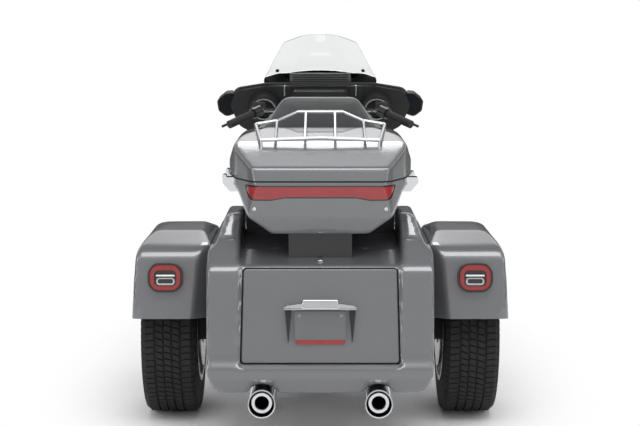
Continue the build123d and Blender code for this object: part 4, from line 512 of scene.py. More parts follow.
@once
def cast_alloy():
    """Sand-cast aluminium in black wrinkle finish."""
    made, tree, shader, place = blank("black_wrinkle_cast_aluminium", {"Metallic": 0.3})
    grained(tree, shader, place, 1.8, 0.16, (0.42, 0.6), (linear("#161617"), linear("#242526")), 0.05, 5.0)
    return made


@once
def wheel_alloy():
    """Machined cast aluminium under lacquer: fine turning lines."""
    made, tree, shader, place = blank("machined_cast_aluminium", {"Metallic": 1.0, "Coat Weight": 0.5})
    relief, _, _ = grained(
        tree, shader, place, 2.0, 0.02, (0.24, 0.36), (linear("#5f6164"), linear("#7b7d80")), 0.03, 5.0)
    stretch = add_node(tree, "ShaderNodeMapping", {"Scale": (6.0, 1.0, 1.0)}, {"Vector": place})
    tree.links.new(stretch.outputs["Vector"], relief.inputs["Vector"])
    return made


@once
def satin_steel():
    """Ground and satin-plated steel: long fine grinding lines."""
    made, tree, shader, place = blank("satin_plated_steel", {"Metallic": 1.0})
    relief, _, _ = grained(
        tree, shader, place, 3.0, 0.015, (0.22, 0.34), (linear("#808285"), linear("#97999c")), 0.04, 4.0)
    stretch = add_node(tree, "ShaderNodeMapping", {"Scale": (1.0, 1.0, 8.0)}, {"Vector": place})
    tree.links.new(stretch.outputs["Vector"], relief.inputs["Vector"])
    return made


@once
def tyre_rubber():
    """Cured tyre rubber: dull black, dusty in patches, fine mould texture."""
    colour = list(bpy.context.scene.tourer_tyres.rubber)
    made, tree, shader, place = blank("cured_tyre_rubber", {"IOR": 1.52, "Specular IOR Level": 0.35})
    tints = (toned(colour, 0.75), toned(colour, 1.4))
    grained(tree, shader, place, 1.6, 0.08, (0.66, 0.85), tints, 0.03, 6.0)
    return made


@once
def moulded_rubber():
    """Moulded grip and mat rubber: matt black."""
    made, tree, shader, place = blank("moulded_rubber", {"IOR": 1.52})
    grained(tree, shader, place, 1.2, 0.06, (0.6, 0.75), (linear("#111112"), linear("#1c1c1d")))
    return made


@once
def red_lens():
    """Moulded red acrylic lens with flutes inside: deep, glossy, brighter where it is thin."""
    colour = list(bpy.context.scene.tourer_lamps.lens)
    made, tree, shader, place = blank(
        "fluted_red_acrylic",
        {
            "IOR": 1.49, "Coat Weight": 1.0, "Coat Roughness": 0.03, "Roughness": 0.25,
            "Subsurface Weight": 0.15, "Subsurface Radius": (0.01, 0.002, 0.002),
        })
    # Flutes 4 mm apart. At a scale of 1 this node's bands lie 2 pi / 20 apart
    flutes = add_node(
        tree, "ShaderNodeTexWave",
        {"Scale": 2 * pi / 20 / (4 * MM), "Distortion": 0.0, "bands_direction": "X"},
        {"Vector": place})
    drift = add_node(tree, "ShaderNodeTexNoise", {"Scale": 1 / (50 * MM), "Detail": 2.0}, {"Vector": place})
    mixed = add_node(
        tree, "ShaderNodeMix",
        {"data_type": "RGBA", 6: (*toned(colour, 0.7), 1), 7: (*toned(colour, 1.35), 1)},
        {0: drift.outputs["Fac"]})
    bump = add_node(
        tree, "ShaderNodeBump", {"Strength": 0.6, "Distance": 0.0006}, {"Height": flutes.outputs["Fac"]})
    tree.links.new(mixed.outputs[2], shader.inputs["Base Color"])
    tree.links.new(bump.outputs["Normal"], shader.inputs["Normal"])
    return made


@once
def vinyl():
    """Expanded vinyl seat cover: dark grey, leather grain, soft sheen."""
    colour = list(bpy.context.scene.tourer_cushions.vinyl)
    made, tree, shader, place = blank(
        "grained_seat_vinyl", {"IOR": 1.5, "Sheen Weight": 0.25, "Sheen Roughness": 0.5})
    grained(tree, shader, place, 60, 0.4, (0.44, 0.56), (toned(colour, 0.88), toned(colour, 1.15)), 0.2, 2.0)
    # Leather grain of 2 mm cells, as coarse as it needs to show
    cells = add_node(
        tree, "ShaderNodeTexVoronoi", {"Scale": 1 / (2.2 * MM), "feature": "DISTANCE_TO_EDGE"},
        {"Vector": place})
    bump = add_node(
        tree, "ShaderNodeBump", {"Strength": 0.6, "Distance": 0.0002},
        {"Height": cells.outputs["Distance"]})
    tree.links.new(bump.outputs["Normal"], shader.inputs["Normal"])
    return made


@once
def plate_enamel():
    """Pressed alloy sheet with stoved grey enamel, blank."""
    made, tree, shader, place = blank("stoved_plate_enamel", {"Coat Weight": 0.3, "Coat Roughness": 0.2})
    grained(tree, shader, place, 4, 0.01, (0.35, 0.45), (linear("#5c5d5e"), linear("#676869")))
    return made


@once
def lamp_glass():
    """Clear glass over a bright reflector."""
    made, tree, shader, place = blank(
        "clear_lamp_glass", {"Metallic": 0.6, "Coat Weight": 1.0, "Coat Roughness": 0.02, "Roughness": 0.15})
    grained(tree, shader, place, 12, 0.3, (0.1, 0.2), (linear("#b9bdc2"), linear("#e2e5e8")), 0.03)
    return made


@once
def screen_sheet():
    """Clear polycarbonate sheet, hard coated: nearly clear faces, smoky cut edges."""
    made, tree, shader, place = blank("clear_polycarbonate", {"Transmission Weight": 0.96, "IOR": 1.3})
    grained(tree, shader, place, 200, 0.01, (0.01, 0.03))
    facing = add_node(
        tree, "ShaderNodeVectorMath", {"operation": "DOT_PRODUCT", 1: (0, cos(RAKE), sin(RAKE))},
        {0: add_node(tree, "ShaderNodeTexCoord").outputs["Normal"]})
    flat = add_node(tree, "ShaderNodeMath", {"operation": "ABSOLUTE"}, {0: facing.outputs["Value"]})
    share = add_node(
        tree, "ShaderNodeMapRange", {"From Min": 0.45, "From Max": 0.65}, {"Value": flat.outputs[0]})
    mixed = add_node(
        tree, "ShaderNodeMix",
        {"data_type": "RGBA", 6: (*linear("#55585b"), 1), 7: (*linear("#eff1f1"), 1)},
        {0: share.outputs["Result"]})
    tree.links.new(mixed.outputs[2], shader.inputs["Base Color"])
    return made


@once
def mirror_glass():
    """Silvered mirror glass, its colour painted dark grey: a painted reflection of dark surroundings."""
    made, tree, shader, place = blank("mirror_glass_painted_dark", {"Metallic": 1.0})
    # Dark grey in place of bright silver: painted dark reflection
    grained(tree, shader, place, 60, 0.002, (0.01, 0.03), (linear("#2b2d30"), linear("#313336")))
    return made


@once
def soot():
    """Soot and painted shadow: black and dry, for the soot and the unlit depth of the exhaust tips."""
    made, tree, shader, place = blank("exhaust_soot", {"Specular IOR Level": 0.05})
    # Near black: soot, with painted shadow for the unlit bores of the tips
    grained(tree, shader, place, 2, 0.1, (0.9, 1.0), (linear("#050505"), linear("#0b0b0b")))
    return made


FINISHES = {
    "enamel": enamel,
    "chrome": chrome,
    "black_steel": black_steel,
    "black_plastic": black_plastic,
    "gloss_plastic": gloss_plastic,
    "cast_alloy": cast_alloy,
    "wheel_alloy": wheel_alloy,
    "satin_steel": satin_steel,
    "tyre_rubber": tyre_rubber,
    "moulded_rubber": moulded_rubber,
    "red_lens": red_lens,
    "vinyl": vinyl,
    "plate_enamel": plate_enamel,
    "lamp_glass": lamp_glass,
    "screen_sheet": screen_sheet,
    "mirror_glass": mirror_glass,
    "soot": soot,
}

# The record's material slots and the finish that each takes here
SLOT_FINISH = {
    "chrome": "chrome",
    "body_paint": "enamel",
    "black_steel": "black_steel",
    "black_plastic": "black_plastic",
    "cast_alloy": "cast_alloy",
    "tyre": "tyre_rubber",
    "wheel_alloy": "wheel_alloy",
    "red_lens": "red_lens",
    "upholstery": "vinyl",
    "rubber": "moulded_rubber",
    "plate_alloy": "plate_enamel",
    "shock_steel": "satin_steel",
    "screen_glass": "screen_sheet",
    "lamp_glass": "lamp_glass",
}


class TOURER_OT_finishes(bpy.types.Operator):
    """Give every carried-over solid the finish of its material slot"""

    bl_idname = "tourer.finishes"
    bl_label = "Finishes of the solids"

    def execute(self, context):
        for row in frame["record"]["subparts"]:
            node = frame["nodes"][row["node"]]
            node.data.materials.clear()
            node.data.materials.append(FINISHES[SLOT_FINISH[row["material_slot"]]]())
        return {"FINISHED"}


# Rear fenders

FENDER_INNER = 398.3
ARCH_RADIUS = 302

# The fenders' forms reach this far below their lower edges, which are trimmed after the rounding
FENDER_SPARE = 60
FENDER_TRIM = [
    (REAR.y - 450, 436, 0),
    (REAR.y + 450, 339, 0),
    (REAR.y + 450, 100, 0),
    (REAR.y - 450, 100, 0),
]


def fender_side(inset):
    """Fender seen from the right. Columns: forward, up, corner radius."""
    drop = FENDER_SPARE + 40 * inset
    return [
        (REAR.y - 391 + inset - drop * LAMP_SLOPE, 430 - drop, 0),
        (REAR.y - 362 + inset, 681 - inset, 75),
        (REAR.y - 180, 724 - inset, 150),
        (REAR.y + 30, 734 - inset, 150),
        (REAR.y + 220, 690 - inset, 130),
        (REAR.y + 350 - inset, 530, 130),
        (REAR.y + 392 - inset, 345 - drop, 0),
    ]


def fender_back(hand, inset):
    """Fender seen from behind. Columns: across, up, corner radius."""
    return [
        (hand * (440 + inset / 2), 733 - inset, 22),
        (hand * (628 - inset / 2), 729 - inset, 90),
        (hand * (670 - inset), 668, 98),
        (hand * (695 - inset), 300 - 10 * inset, 0),
        (hand * (FENDER_INNER + inset), 300 - 10 * inset, 0),
        (hand * (FENDER_INNER + inset), 690 - inset, 20),
    ]


def fender_top(hand, inset):
    """Fender seen from above. Columns: across, forward, corner radius."""
    return [
        (hand * (FENDER_INNER + inset), REAR.y + 400 - inset, 0),
        (hand * (640 - inset), REAR.y + 400 - inset, 120),
        (hand * (700 - inset), REAR.y + 150, 250),
        (hand * (700 - inset), REAR.y - 395 + inset, 70),
        (hand * (468 + inset / 2), REAR.y - 395 + inset, 30),
        (hand * (FENDER_INNER + inset), REAR.y - 311 + inset, 0),
    ]


def fender_views(hand, inset):
    low, high = sorted((hand * 300, hand * 720))
    return [
        (fender_side(inset), SIDE, low, high),
        (fender_back(hand, inset), BEHIND, -REAR.y - 420, -REAR.y + 420),
        (fender_top(hand, inset), ABOVE, 60, 800),
    ]


class TOURER_OT_rear_fenders(bpy.types.Operator):
    """Shape the two rear fenders as pressed shells with open wheel arches"""

    bl_idname = "tourer.rear_fenders"
    bl_label = "Rear fenders"

    def execute(self, context):
        settings = context.scene.tourer_panels
        shells = []
        for hand in SIDES:
            outer = form("fender", fender_views(hand, 0))
            inner = form("inner", fender_views(hand, settings.wall / MM))
            pressed = shell("fender", outer, inner, settings.fineness, 22)
            axle = placed((0, REAR.y, REAR.z), (0, 1, 0), (1, 0, 0))
            arch = drum("arch", ARCH_RADIUS, axle, -760, 760, 160)
            combined(pressed, arch, "DIFFERENCE")
            cut(pressed, FENDER_TRIM, SIDE, -760, 760)
            shells.append(pressed)
        piece(shells, "fender_shells", "chassis", "enamel", "body_paint", "rear_fenders")
        return {"FINISHED"}


# Trunk between the rear wheels

def trunk_side(inset):
    """Trunk seen from the right. Columns: forward, up, corner radius."""
    return [
        (-364 - inset, 648 + inset, 0),
        (-364 - inset, 715 - inset, 20),
        (REAR.y - 40, 802 - inset, 180),
        (REAR.y - 280, 808 - inset, 120),
        (REAR.y - 470, 735 - inset, 150),
        (REAR.y - 588 + inset, 640, 60),
        (REAR.y - 622 + inset, 330, 30),
        (REAR.y - 640 + inset, 302 - inset, 8),
        (REAR.y - 640 + inset, 266, 10),
        (REAR.y - 606 + inset, 207 + inset, 12),
        (REAR.y - 135 - inset, 207 + inset, 20),
        (REAR.y - 135 - inset, 440 + inset, 20),
        (REAR.y + 184 - inset, 440 + inset, 0),
        (REAR.y + 184 - inset, 648 + inset, 0),
    ]


def trunk_back(inset):
    """Trunk seen from behind. Columns: across, up, corner radius."""
    return mirrored([
        (280 + inset, 807 - inset, 20),
        (345 - inset, 803 - inset, 25),
        (372 - inset, 715, 20),
        (398 - inset, 700 - inset, 14),
        (398 - inset, 290, 60),
        (372 - inset, 207 + inset, 50),
    ])


def deck_cut(deck_drop, face_drop):
    """What is cut away between the shoulders. Columns: forward, up, corner radius."""
    return [
        (-304, 700 - deck_drop, 0),
        (REAR.y - 50, 700 - deck_drop, 60),
        (REAR.y - 420, 687 - deck_drop, 60),
        (DOOR_TOP[0] + 12 + face_drop, 654 - deck_drop, 6),
        (DOOR_TOP[0] + face_drop, 642, 0),
        (DOOR_LOW[0] + face_drop, 315, 0),
        (DOOR_LOW[0] + face_drop, 304 - deck_drop, 0),
        (REAR.y - 700, 304 - deck_drop, 0),
        (REAR.y - 700, 900, 0),
        (-304, 900, 0),
    ]


def door_rows(grow, corner):
    """Door seen square to its face. Columns: across, up, corner radius."""
    return mirrored([(268 + grow, DOOR_TALL + grow, corner), (277 + grow, -DOOR_TALL - grow, corner)])


def silencer_plane(hand):
    """Plane square to a silencer, with its origin on the silencer's middle line."""
    return shifted(BEHIND, hand * SILENCER[0], SILENCER[1])


def trunk_block(name, inset, face_drop):
    """The trunk's outer or inner form, with the deck and the silencers' tunnels cut out."""
    block = form(name, [(trunk_side(inset), SIDE, -420, 420), (trunk_back(inset), BEHIND, 340, 1310)])
    half = 283 + inset
    cut(block, deck_cut(inset, face_drop), SIDE, -half, half)
    for hand in SIDES:
        bored(block, 58 + inset, silencer_plane(hand), 300, 1400)
    return block


class TOURER_OT_trunk(bpy.types.Operator):
    """Shape the hollow trunk with its shoulders, deck, door opening and lock"""

    bl_idname = "tourer.trunk"
    bl_label = "Trunk"

    def execute(self, context):
        settings = context.scene.tourer_panels
        space = trunk_block("space", settings.wall / MM, 40)
        trunk = shell("trunk", trunk_block("trunk", 0, 0), space, settings.fineness * 1.4, 6)
        cut(trunk, door_rows(4, 14), DOOR, -24, 20)
        cut(trunk, door_rows(-18, 14), DOOR, -80, 20)
        piece(trunk, "trunk_shell", "chassis", "enamel", "body_paint", "trunk_body")
        lining = prism("lining", door_rows(3.6, 13.6), DOOR, -23.9, -20)
        cut(lining, door_rows(-4, 10), DOOR, -40, 0)
        piece(lining, "door_seal", "chassis", "moulded_rubber", "rubber")
        rows = mirrored([(172, 754, 4), (262, 819, 4), (281, 819, 4), (281, 696, 4)])
        cover = prism("cover", rows, BEHIND, -CASE_FRONT + 30, -CASE_FRONT + 42)
        piece(bevelled(cover, 2, 2, 50), "deck_cover", "chassis", "black_plastic", "black_plastic")
        deck = placed((0, REAR.y - 520, 663), (1, 0, 0), (0, -0.28, 1))
        barrel = bevelled(drum("lock", 11, deck, -2, 7), 2.5, 3, 50)
        cut(barrel, panel(2, 10, 0.9), deck, 3, 12)
        piece(barrel, "trunk_lock", "chassis", "chrome", "chrome")
        return {"FINISHED"}


class TOURER_OT_trunk_door(bpy.types.Operator):
    """Shape the trunk door with its rolled edge"""

    bl_idname = "tourer.trunk_door"
    bl_label = "Trunk door"

    def execute(self, context):
        door = prism("door", door_rows(0, 12), DOOR, -23.7, 0, 6)
        bevelled(door, 5, 4, 50)
        piece(door, "door_panel", "trunk_door", "enamel", "body_paint", "trunk_door", angle=40)
        return {"FINISHED"}


class TOURER_OT_plate(bpy.types.Operator):
    """Model the plate's lamp bar with its fins, the blank plate with two screws, and the reflector"""

    bl_idname = "tourer.plate"
    bl_label = "Number plate and lamp bar"

    def execute(self, context):
        bar = prism("bar", mirrored([(127, 34, 6), (127, 24, 5)]), DOOR, 0.3, 34)
        bevelled(bar, 4, 3, 50)
        hood = prism("hood", mirrored([(62, 60, 6), (66, 26, 4)]), DOOR, 0.3, 42)
        bevelled(hood, 4, 3, 50)
        wings = []
        for hand in SIDES:
            rows = [(hand * 60, 46, 0), (hand * 118, 38, 6), (hand * 126, 30, 3), (hand * 60, 26, 0)]
            wings.append(bevelled(prism("wing", rows, DOOR, 0.3, 30), 2.5, 2, 50))
        piece([bar, hood, *wings], "lamp_bar", "trunk_door", "chrome", "chrome", "plate_lamp_bar")
        fins = []
        for hand in SIDES:
            rows = [(hand * 124, 26, 0), (hand * 100, 26, 0), (hand * 108, -60, 0), (hand * 111.5, -100, 1)]
            fins.append(bevelled(prism("fin", rows, DOOR, 0.3, 13), 2, 2, 50))
        piece(fins, "lamp_bar_fins", "trunk_door", "black_plastic", "black_plastic")
        low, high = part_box("number_plate")
        back = shifted(BEHIND, 0, (low.z + high.z) / 2 / MM)
        level = -low.y / MM
        sheet = prism("plate", panel(178, 102, 8), back, level - 2, level)
        cut(sheet, panel(172, 96, 6), back, level - 0.8, level + 1)
        face = prism("face", panel(171.6, 95.6, 6), back, level - 1.9, level - 0.6)
        stand = prism("stand", panel(152, 88, 6), back, level - 22, level - 2.2)
        cut(stand, door_rows(20, 12), DOOR, -60, 0.3)
        plate = [sheet, face, stand]
        piece(plate, "blank_plate", "trunk_door", "plate_enamel", "plate_alloy", "number_plate")
        screws = [bolt("screw", 5.5, shifted(back, hand * 73, 35), level - 0.7, 0.68) for hand in SIDES]
        piece(screws, "plate_screws", "trunk_door", "satin_steel", "chrome")
        lens = prism("lens", panel(172, 22, 5, 0, -29.72 - 57), DOOR, 0.3, 9)
        bevelled(lens, 2.5, 3, 50)
        piece(lens, "plate_reflector_lens", "trunk_door", "red_lens", "red_lens", "plate_reflector")
        return {"FINISHED"}


def lamp_plane(hand):
    """Plane on a fender's back face at the lamp's centre."""
    return placed((hand * 559, LAMP_BACK, LAMP_UP), (1, 0, 0), (0, -1, LAMP_SLOPE))


class TOURER_OT_fender_lamps(bpy.types.Operator):
    """Model the fender lamps: gloss bezel, ring lens and the reflector with its crossbar"""

    bl_idname = "tourer.fender_lamps"
    bl_label = "Fender lamps"

    def execute(self, context):
        bezels, lenses, bowls, bars = [], [], [], []
        for hand in SIDES:
            plane = lamp_plane(hand)
            bezel = prism("bezel", panel(128, 108, 44), plane, 0.3, 24, 6)
            cut(bezel, panel(111, 91, 35.5), plane, 6, 40, 6)
            bezels.append(bevelled(bezel, 4, 4, 50))
            lens = prism("ring", panel(110.4, 90.4, 35.2), plane, 6.3, 27, 6)
            cut(lens, panel(80, 58, 17, 0, -2), plane, 9, 40, 6)
            lenses.append(bevelled(lens, 6, 5, 50))
            bowls.append(bevelled(prism("crossbar", panel(72, 8, 3.5, 0, 7), plane, 9.3, 22), 3, 3, 50))
            bowl = prism("bowl", panel(66, 26, 11, 0, -14), plane, 9.3, 18)
            cut(bowl, panel(54, 16, 6, 0, -13), plane, 10, 30)
            bowls.append(bevelled(bowl, 2.5, 3, 50))
            bars.append(prism("floor", panel(79.6, 57.6, 16.8, 0, -2), plane, 9.1, 9.9))
            bars.append(bevelled(prism("dark", panel(53.6, 15.6, 5.8, 0, -13), plane, 10.1, 14), 2, 2, 50))
        piece(bezels, "lamp_bezels", "chassis", "gloss_plastic", "black_plastic", "fender_lamps")
        piece(lenses, "lamp_lenses", "chassis", "red_lens", "red_lens")
        piece(bowls, "lamp_reflectors", "chassis", "chrome", "chrome")
        piece(bars, "lamp_bars", "chassis", "gloss_plastic", "black_plastic")
        return {"FINISHED"}


# Tyres

CARCASS_STEPS = 128


def tread_block(low, high, start, end, skew, drop, centre, radius, groove):
    """One tread block at the top of a tyre, its far side pushed along and dropped."""
    only()
    bpy.ops.mesh.primitive_cube_add(size=1)
    block = bpy.context.object
    block.scale = ((high - low) * MM, (end - start) * MM, groove * 1.5)
    block.location = (
        (centre.x + (low + high) / 2) * MM,
        (centre.y + (start + end) / 2) * MM,
        (centre.z + radius) * MM - groove * 0.75,
    )
    bpy.ops.object.transform_apply(location=True, rotation=True, scale=True)
    far = high if abs(high) > abs(low) else low
    edit(block)
    bpy.ops.mesh.select_all(action="DESELECT")
    leave()
    for vertex in block.data.vertices:
        vertex.select = abs(vertex.co.x - (centre.x + far) * MM) < 1e-5
    only(block)
    bpy.ops.object.mode_set(mode="EDIT")
    bpy.ops.transform.translate(value=(0, skew * MM, -drop * MM))
    leave()
    return applied(block, "BEVEL", width=0.0011, segments=1, limit_method="ANGLE", angle_limit=radians(35))


def tyre(name, centre, size, blocks, pitches, groove):
    """Tyre with its side walls and its tread blocks. Columns of blocks: low, high, start, end, skew, drop."""
    rim, half_rim, flange, radius, half, tread = size
    depth = groove / MM
    belly = rim + 0.42 * (radius - rim)
    rows = [
        (half_rim, rim, 0),
        (half_rim, rim + flange + 1, 1),
        (half_rim + 0.7 * (half - half_rim), rim + flange + 5, 3),
        (half - 1.5, belly - 9, 6),
        (half, belly - 4, 3),
        (half, belly + 4, 3),
        (half - 2.5, belly + 8, 4),
        (half * (2 + tread) / 3 + 2, radius - 0.2 * (radius - rim), 26),
        (half * tread + 2, radius - depth, 10),
    ]
    mirror = [(-across, out, corner) for across, out, corner in reversed(rows)]
    carcass = spun(name, rows + mirror, centre, CARCASS_STEPS)
    module = []
    for low, high, start, end, skew, drop in blocks:
        module.append(tread_block(low, high, start, end, skew, drop, centre, radius, groove))
        if low * high > 0:
            module.append(tread_block(-high, -low, start, end, -skew, drop, centre, radius, groove))
    ring = joined(name + "_tread", module)
    edit(ring)
    bpy.ops.mesh.spin(steps=pitches, dupli=True, angle=2 * pi, center=centre * MM, axis=(1, 0, 0))
    bpy.ops.mesh.select_all(action="SELECT")
    bpy.ops.mesh.remove_doubles(threshold=0.00005)
    leave()
    return joined(name, [carcass, ring])


# Tread blocks. Columns: low, high across, start, end along, skew, drop of the far side, in millimetres
REAR_BLOCKS = (
    (-12, 12, -10.5, 10.5, 7, 0),
    (18, 43, -10.5, 10.5, -9, 0),
    (50, 84, -11, 11, 4, 0.5),
    (80, 99, -11, 11, 1, 15),
)
FRONT_BLOCKS = (
    (-9, 9, -11, 11, 9, 0),
    (14, 33, -11, 11, -8, 2.5),
    (36, 56, -11, 11, 4, 15),
)


# Sizes. Columns: rim radius, half width on the rim, flange, radius, half width, tread's share of it
REAR_SIZE = (196, 96.8, 12, 324, 102.6, 0.84)
FRONT_SIZE = (241, 59.8, 10, 319, 64.7, 0.5)

# Columns: CAD node, piece, body, size, tread blocks
TYRES = (
    ("rear_tyre_left", "treaded_tyre_left", "rear_wheel_left", REAR_SIZE, REAR_BLOCKS),
    ("rear_tyre_right", "treaded_tyre_right", "rear_wheel_right", REAR_SIZE, REAR_BLOCKS),
    ("front_tyre", "treaded_tyre_front", "front_wheel", FRONT_SIZE, FRONT_BLOCKS),
)


class TOURER_OT_tyres(bpy.types.Operator):
    """Model the three tyres with their tread"""

    bl_idname = "tourer.tyres"
    bl_label = "Tyres"

    def execute(self, context):
        settings = context.scene.tourer_tyres
        for node, name, body, size, blocks in TYRES:
            made = tyre(name, middle(node), size, blocks, settings.pitches, settings.groove)
            piece(made, name, body, "tyre_rubber", "tyre", node)
        return {"FINISHED"}


# Top case

CASE_BACK = REAR.y - 590
CASE_FRONT = REAR.y - 30
SEAM = 946


def case_views(inset):
    """The top case's outlines from the side, from behind and from above, base and lid in one."""
    side = [
        (CASE_BACK + 66 + inset, 757 + inset, 20),
        (CASE_BACK + 24 + inset, 826, 30),
        (CASE_BACK + inset, SEAM - 10, 12),
        (CASE_BACK + 16 + inset, 996 - inset, 10),
        (CASE_BACK + 190, 1070 - inset, 160),
        (CASE_BACK + 390, 1113 - inset, 120),
        (CASE_FRONT - inset, 1096 - inset, 40),
        (CASE_FRONT - inset, 757 + inset, 30),
    ]
    back = mirrored([
        (190 - inset, 1113 - inset, 90),
        (300 - inset, 1086 - inset, 60),
        (336 - inset, 990, 50),
        (330 - inset, SEAM, 10),
        (290 - inset, 900, 40),
        (256 - inset, 824, 20),
        (168 - inset / 2, 757 + inset, 10),
    ])
    top = mirrored([
        (284 - inset, CASE_FRONT - inset, 60),
        (337 - inset, CASE_FRONT - 200, 200),
        (304 - inset, CASE_BACK + 150, 120),
        (235 - inset, CASE_BACK + inset, 60),
    ])
    depth = (-CASE_FRONT - 20, -CASE_BACK + 20)
    return [(side, SIDE, -340, 340), (back, BEHIND, *depth), (top, ABOVE, 700, 1150)]


def sliced(thing, low, high):
    """Takes a level slice right across out of a part of the top case."""
    return cut(thing, panel(800, 1000, 0, 0, -900), ABOVE, low, high)


def strip_rows(shrink):
    """The lamp strip seen from behind. Columns: across, up, corner radius."""
    return mirrored([
        (264 - shrink, 936 - shrink, 6),
        (247 - shrink, 883 + shrink, 24),
        (172 - shrink, 882 + shrink, 60),
        (125 - shrink, 891 + shrink, 60),
    ])


class TOURER_OT_top_case(bpy.types.Operator):
    """Shape the top case: base, lid, lamp strip and the dark trim at the seam"""

    bl_idname = "tourer.top_case"
    bl_label = "Top case"

    def execute(self, context):
        settings = context.scene.tourer_panels
        outer = softened(form("case", case_views(0)), settings.fineness * 0.85, 11)
        inner = softened(form("inner", case_views(settings.wall / MM)), settings.fineness * 0.85, 11)
        lamp = combined(twin(outer), prism("strip", strip_rows(5), BEHIND, 1100, 1400), "INTERSECT")
        combined(lamp, inner, "DIFFERENCE", keep=True)
        bevelled(lamp, 2.5, 4, 50)
        piece(lamp, "case_lamp_lens", "chassis", "red_lens", "red_lens", "topcase_lamp")
        base = combined(twin(outer), inner, "DIFFERENCE", keep=True)
        sliced(base, SEAM, 1300)
        cut(base, strip_rows(0), BEHIND, 1100, 1400)
        piece(base, "case_base_shell", "chassis", "enamel", "body_paint", "topcase_base")
        edge = combined(twin(outer), inner, "DIFFERENCE", keep=True)
        applied(edge, "DISPLACE", strength=-0.0012, mid_level=0.0)
        combined(edge, prism("strip", strip_rows(0.3), BEHIND, 1100, 1400), "INTERSECT")
        cut(edge, strip_rows(5.3), BEHIND, 1000, 1400)
        piece(edge, "case_lamp_frame", "chassis", "gloss_plastic", "black_plastic")
        gasket = twin(outer)
        combined(outer, inner, "DIFFERENCE", keep=True)
        applied(gasket, "DISPLACE", strength=-0.0016, mid_level=0.0)
        combined(gasket, inner, "DIFFERENCE")
        sliced(gasket, SEAM + 5.4, 1300)
        sliced(gasket, 600, SEAM + 0.4)
        piece(gasket, "case_gasket", "chassis", "moulded_rubber", "rubber")
        sliced(outer, 600, SEAM + 6)
        piece(outer, "case_lid_shell", "topcase_lid", "enamel", "body_paint", "topcase_lid")
        screws = []
        for hand in SIDES:
            spot, normal = struck(base, (hand * 229, -1500, 853), (0, 1, 0))
            screws.append(bolt("screw", 7, placed(spot, (1, 0, 0), normal), -1.5, 5))
        piece(screws, "case_screws", "chassis", "chrome", "chrome")
        return {"FINISHED"}


# Tank

class TOURER_OT_tank(bpy.types.Operator):
    """Shape the fuel tank and its console"""

    bl_idname = "tourer.tank"
    bl_label = "Fuel tank"

    def execute(self, context):
        side = [
            (75, 700, 12),
            (75, 800, 30),
            (185, 880, 120),
            (365, 935, 120),
            (495, 915, 50),
            (515, 850, 40),
            (475, 755, 40),
            (375, 700, 60),
        ]
        back = mirrored([(70, 937, 60), (140, 880, 60), (168, 830, 45), (160, 740, 40), (108, 692, 20)])
        top = mirrored([(60, 517, 55), (150, 455, 90), (169, 315, 160), (120, 65, 60)])
        tank = form("tank", [(side, SIDE, -180, 180), (back, BEHIND, -540, -60), (top, ABOVE, 680, 960)])
        softened(tank, 0.006, 26)
        tunnel = [(545, 680, 0), (545, 856, 0), (470, 834, 0), (55, 723, 0), (55, 680, 0)]
        cut(tank, tunnel, SIDE, -34, 34)
        piece(tank, "tank_shell", "chassis", "enamel", "body_paint", "fuel_tank")
        return {"FINISHED"}


# Wheels and engine

WHEEL_NUTS = 5
NUT_CIRCLE = 30

# Screws of the primary cover, as shares of its length and height
COVER_SCREWS = (
    (0.1, 0.25), (0.1, 0.75), (0.37, 0.92), (0.63, 0.92),
    (0.9, 0.75), (0.9, 0.25), (0.37, 0.08), (0.63, 0.08),
)


class TOURER_OT_bolts(bpy.types.Operator):
    """Add the wheel nuts with their hub caps and the primary cover's screws"""

    bl_idname = "tourer.bolts"
    bl_label = "Wheel and cover bolts"

    def execute(self, context):
        for hand, word in ((-1, "left"), (1, "right")):
            rim = frame["nodes"][f"rear_rim_{word}"]
            centre = middle(f"rear_tyre_{word}")
            nuts = []
            for number in range(WHEEL_NUTS):
                angle = radians(90 + 360 / WHEEL_NUTS * number)
                start = centre + NUT_CIRCLE * Vector((0, cos(angle), sin(angle)))
                start.x = hand * 900
                spot, _ = struck(rim, start, (-hand, 0, 0))
                nuts.append(bolt("nut", 8, placed(spot, (0, 1, 0), (hand, 0, 0)), -1, 12))
            cap = drum("cap", 21.5, placed((spot.x, centre.y, centre.z), (0, 1, 0), (hand, 0, 0)), 0.3, 9, 40)
            nuts.append(bevelled(cap, 4, 4, 50))
            piece(nuts, f"wheel_nuts_{word}", f"rear_wheel_{word}", "chrome", "chrome")
        cover = frame["nodes"]["primary_cover"]
        low, high = (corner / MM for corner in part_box("primary_cover"))
        heads = []
        for along, up in COVER_SCREWS:
            start = (-900, low.y + along * (high.y - low.y), low.z + up * (high.z - low.z))
            met, spot, normal, _ = cover.ray_cast(Vector(start) * MM, Vector((1, 0, 0)))
            if met and normal.x < -0.9:
                heads.append(bolt("head", 6, placed(spot / MM, (0, 1, 0), (-1, 0, 0)), -1, 5))
        piece(heads, "primary_cover_screws", "chassis", "satin_steel", "chrome")
        return {"FINISHED"}


# Exhaust tips

# Black lining in a tip: soot, and painted shadow in the bore and in the gap round the inner pipe. Columns:
# outer radius, inner radius, start, start of the hollow, mouth
LININGS = (
    (24.7, 23.6, 1215.4, 1218, 1303),
    (41.3, 36.4, 1226, 1200, 1292),
)


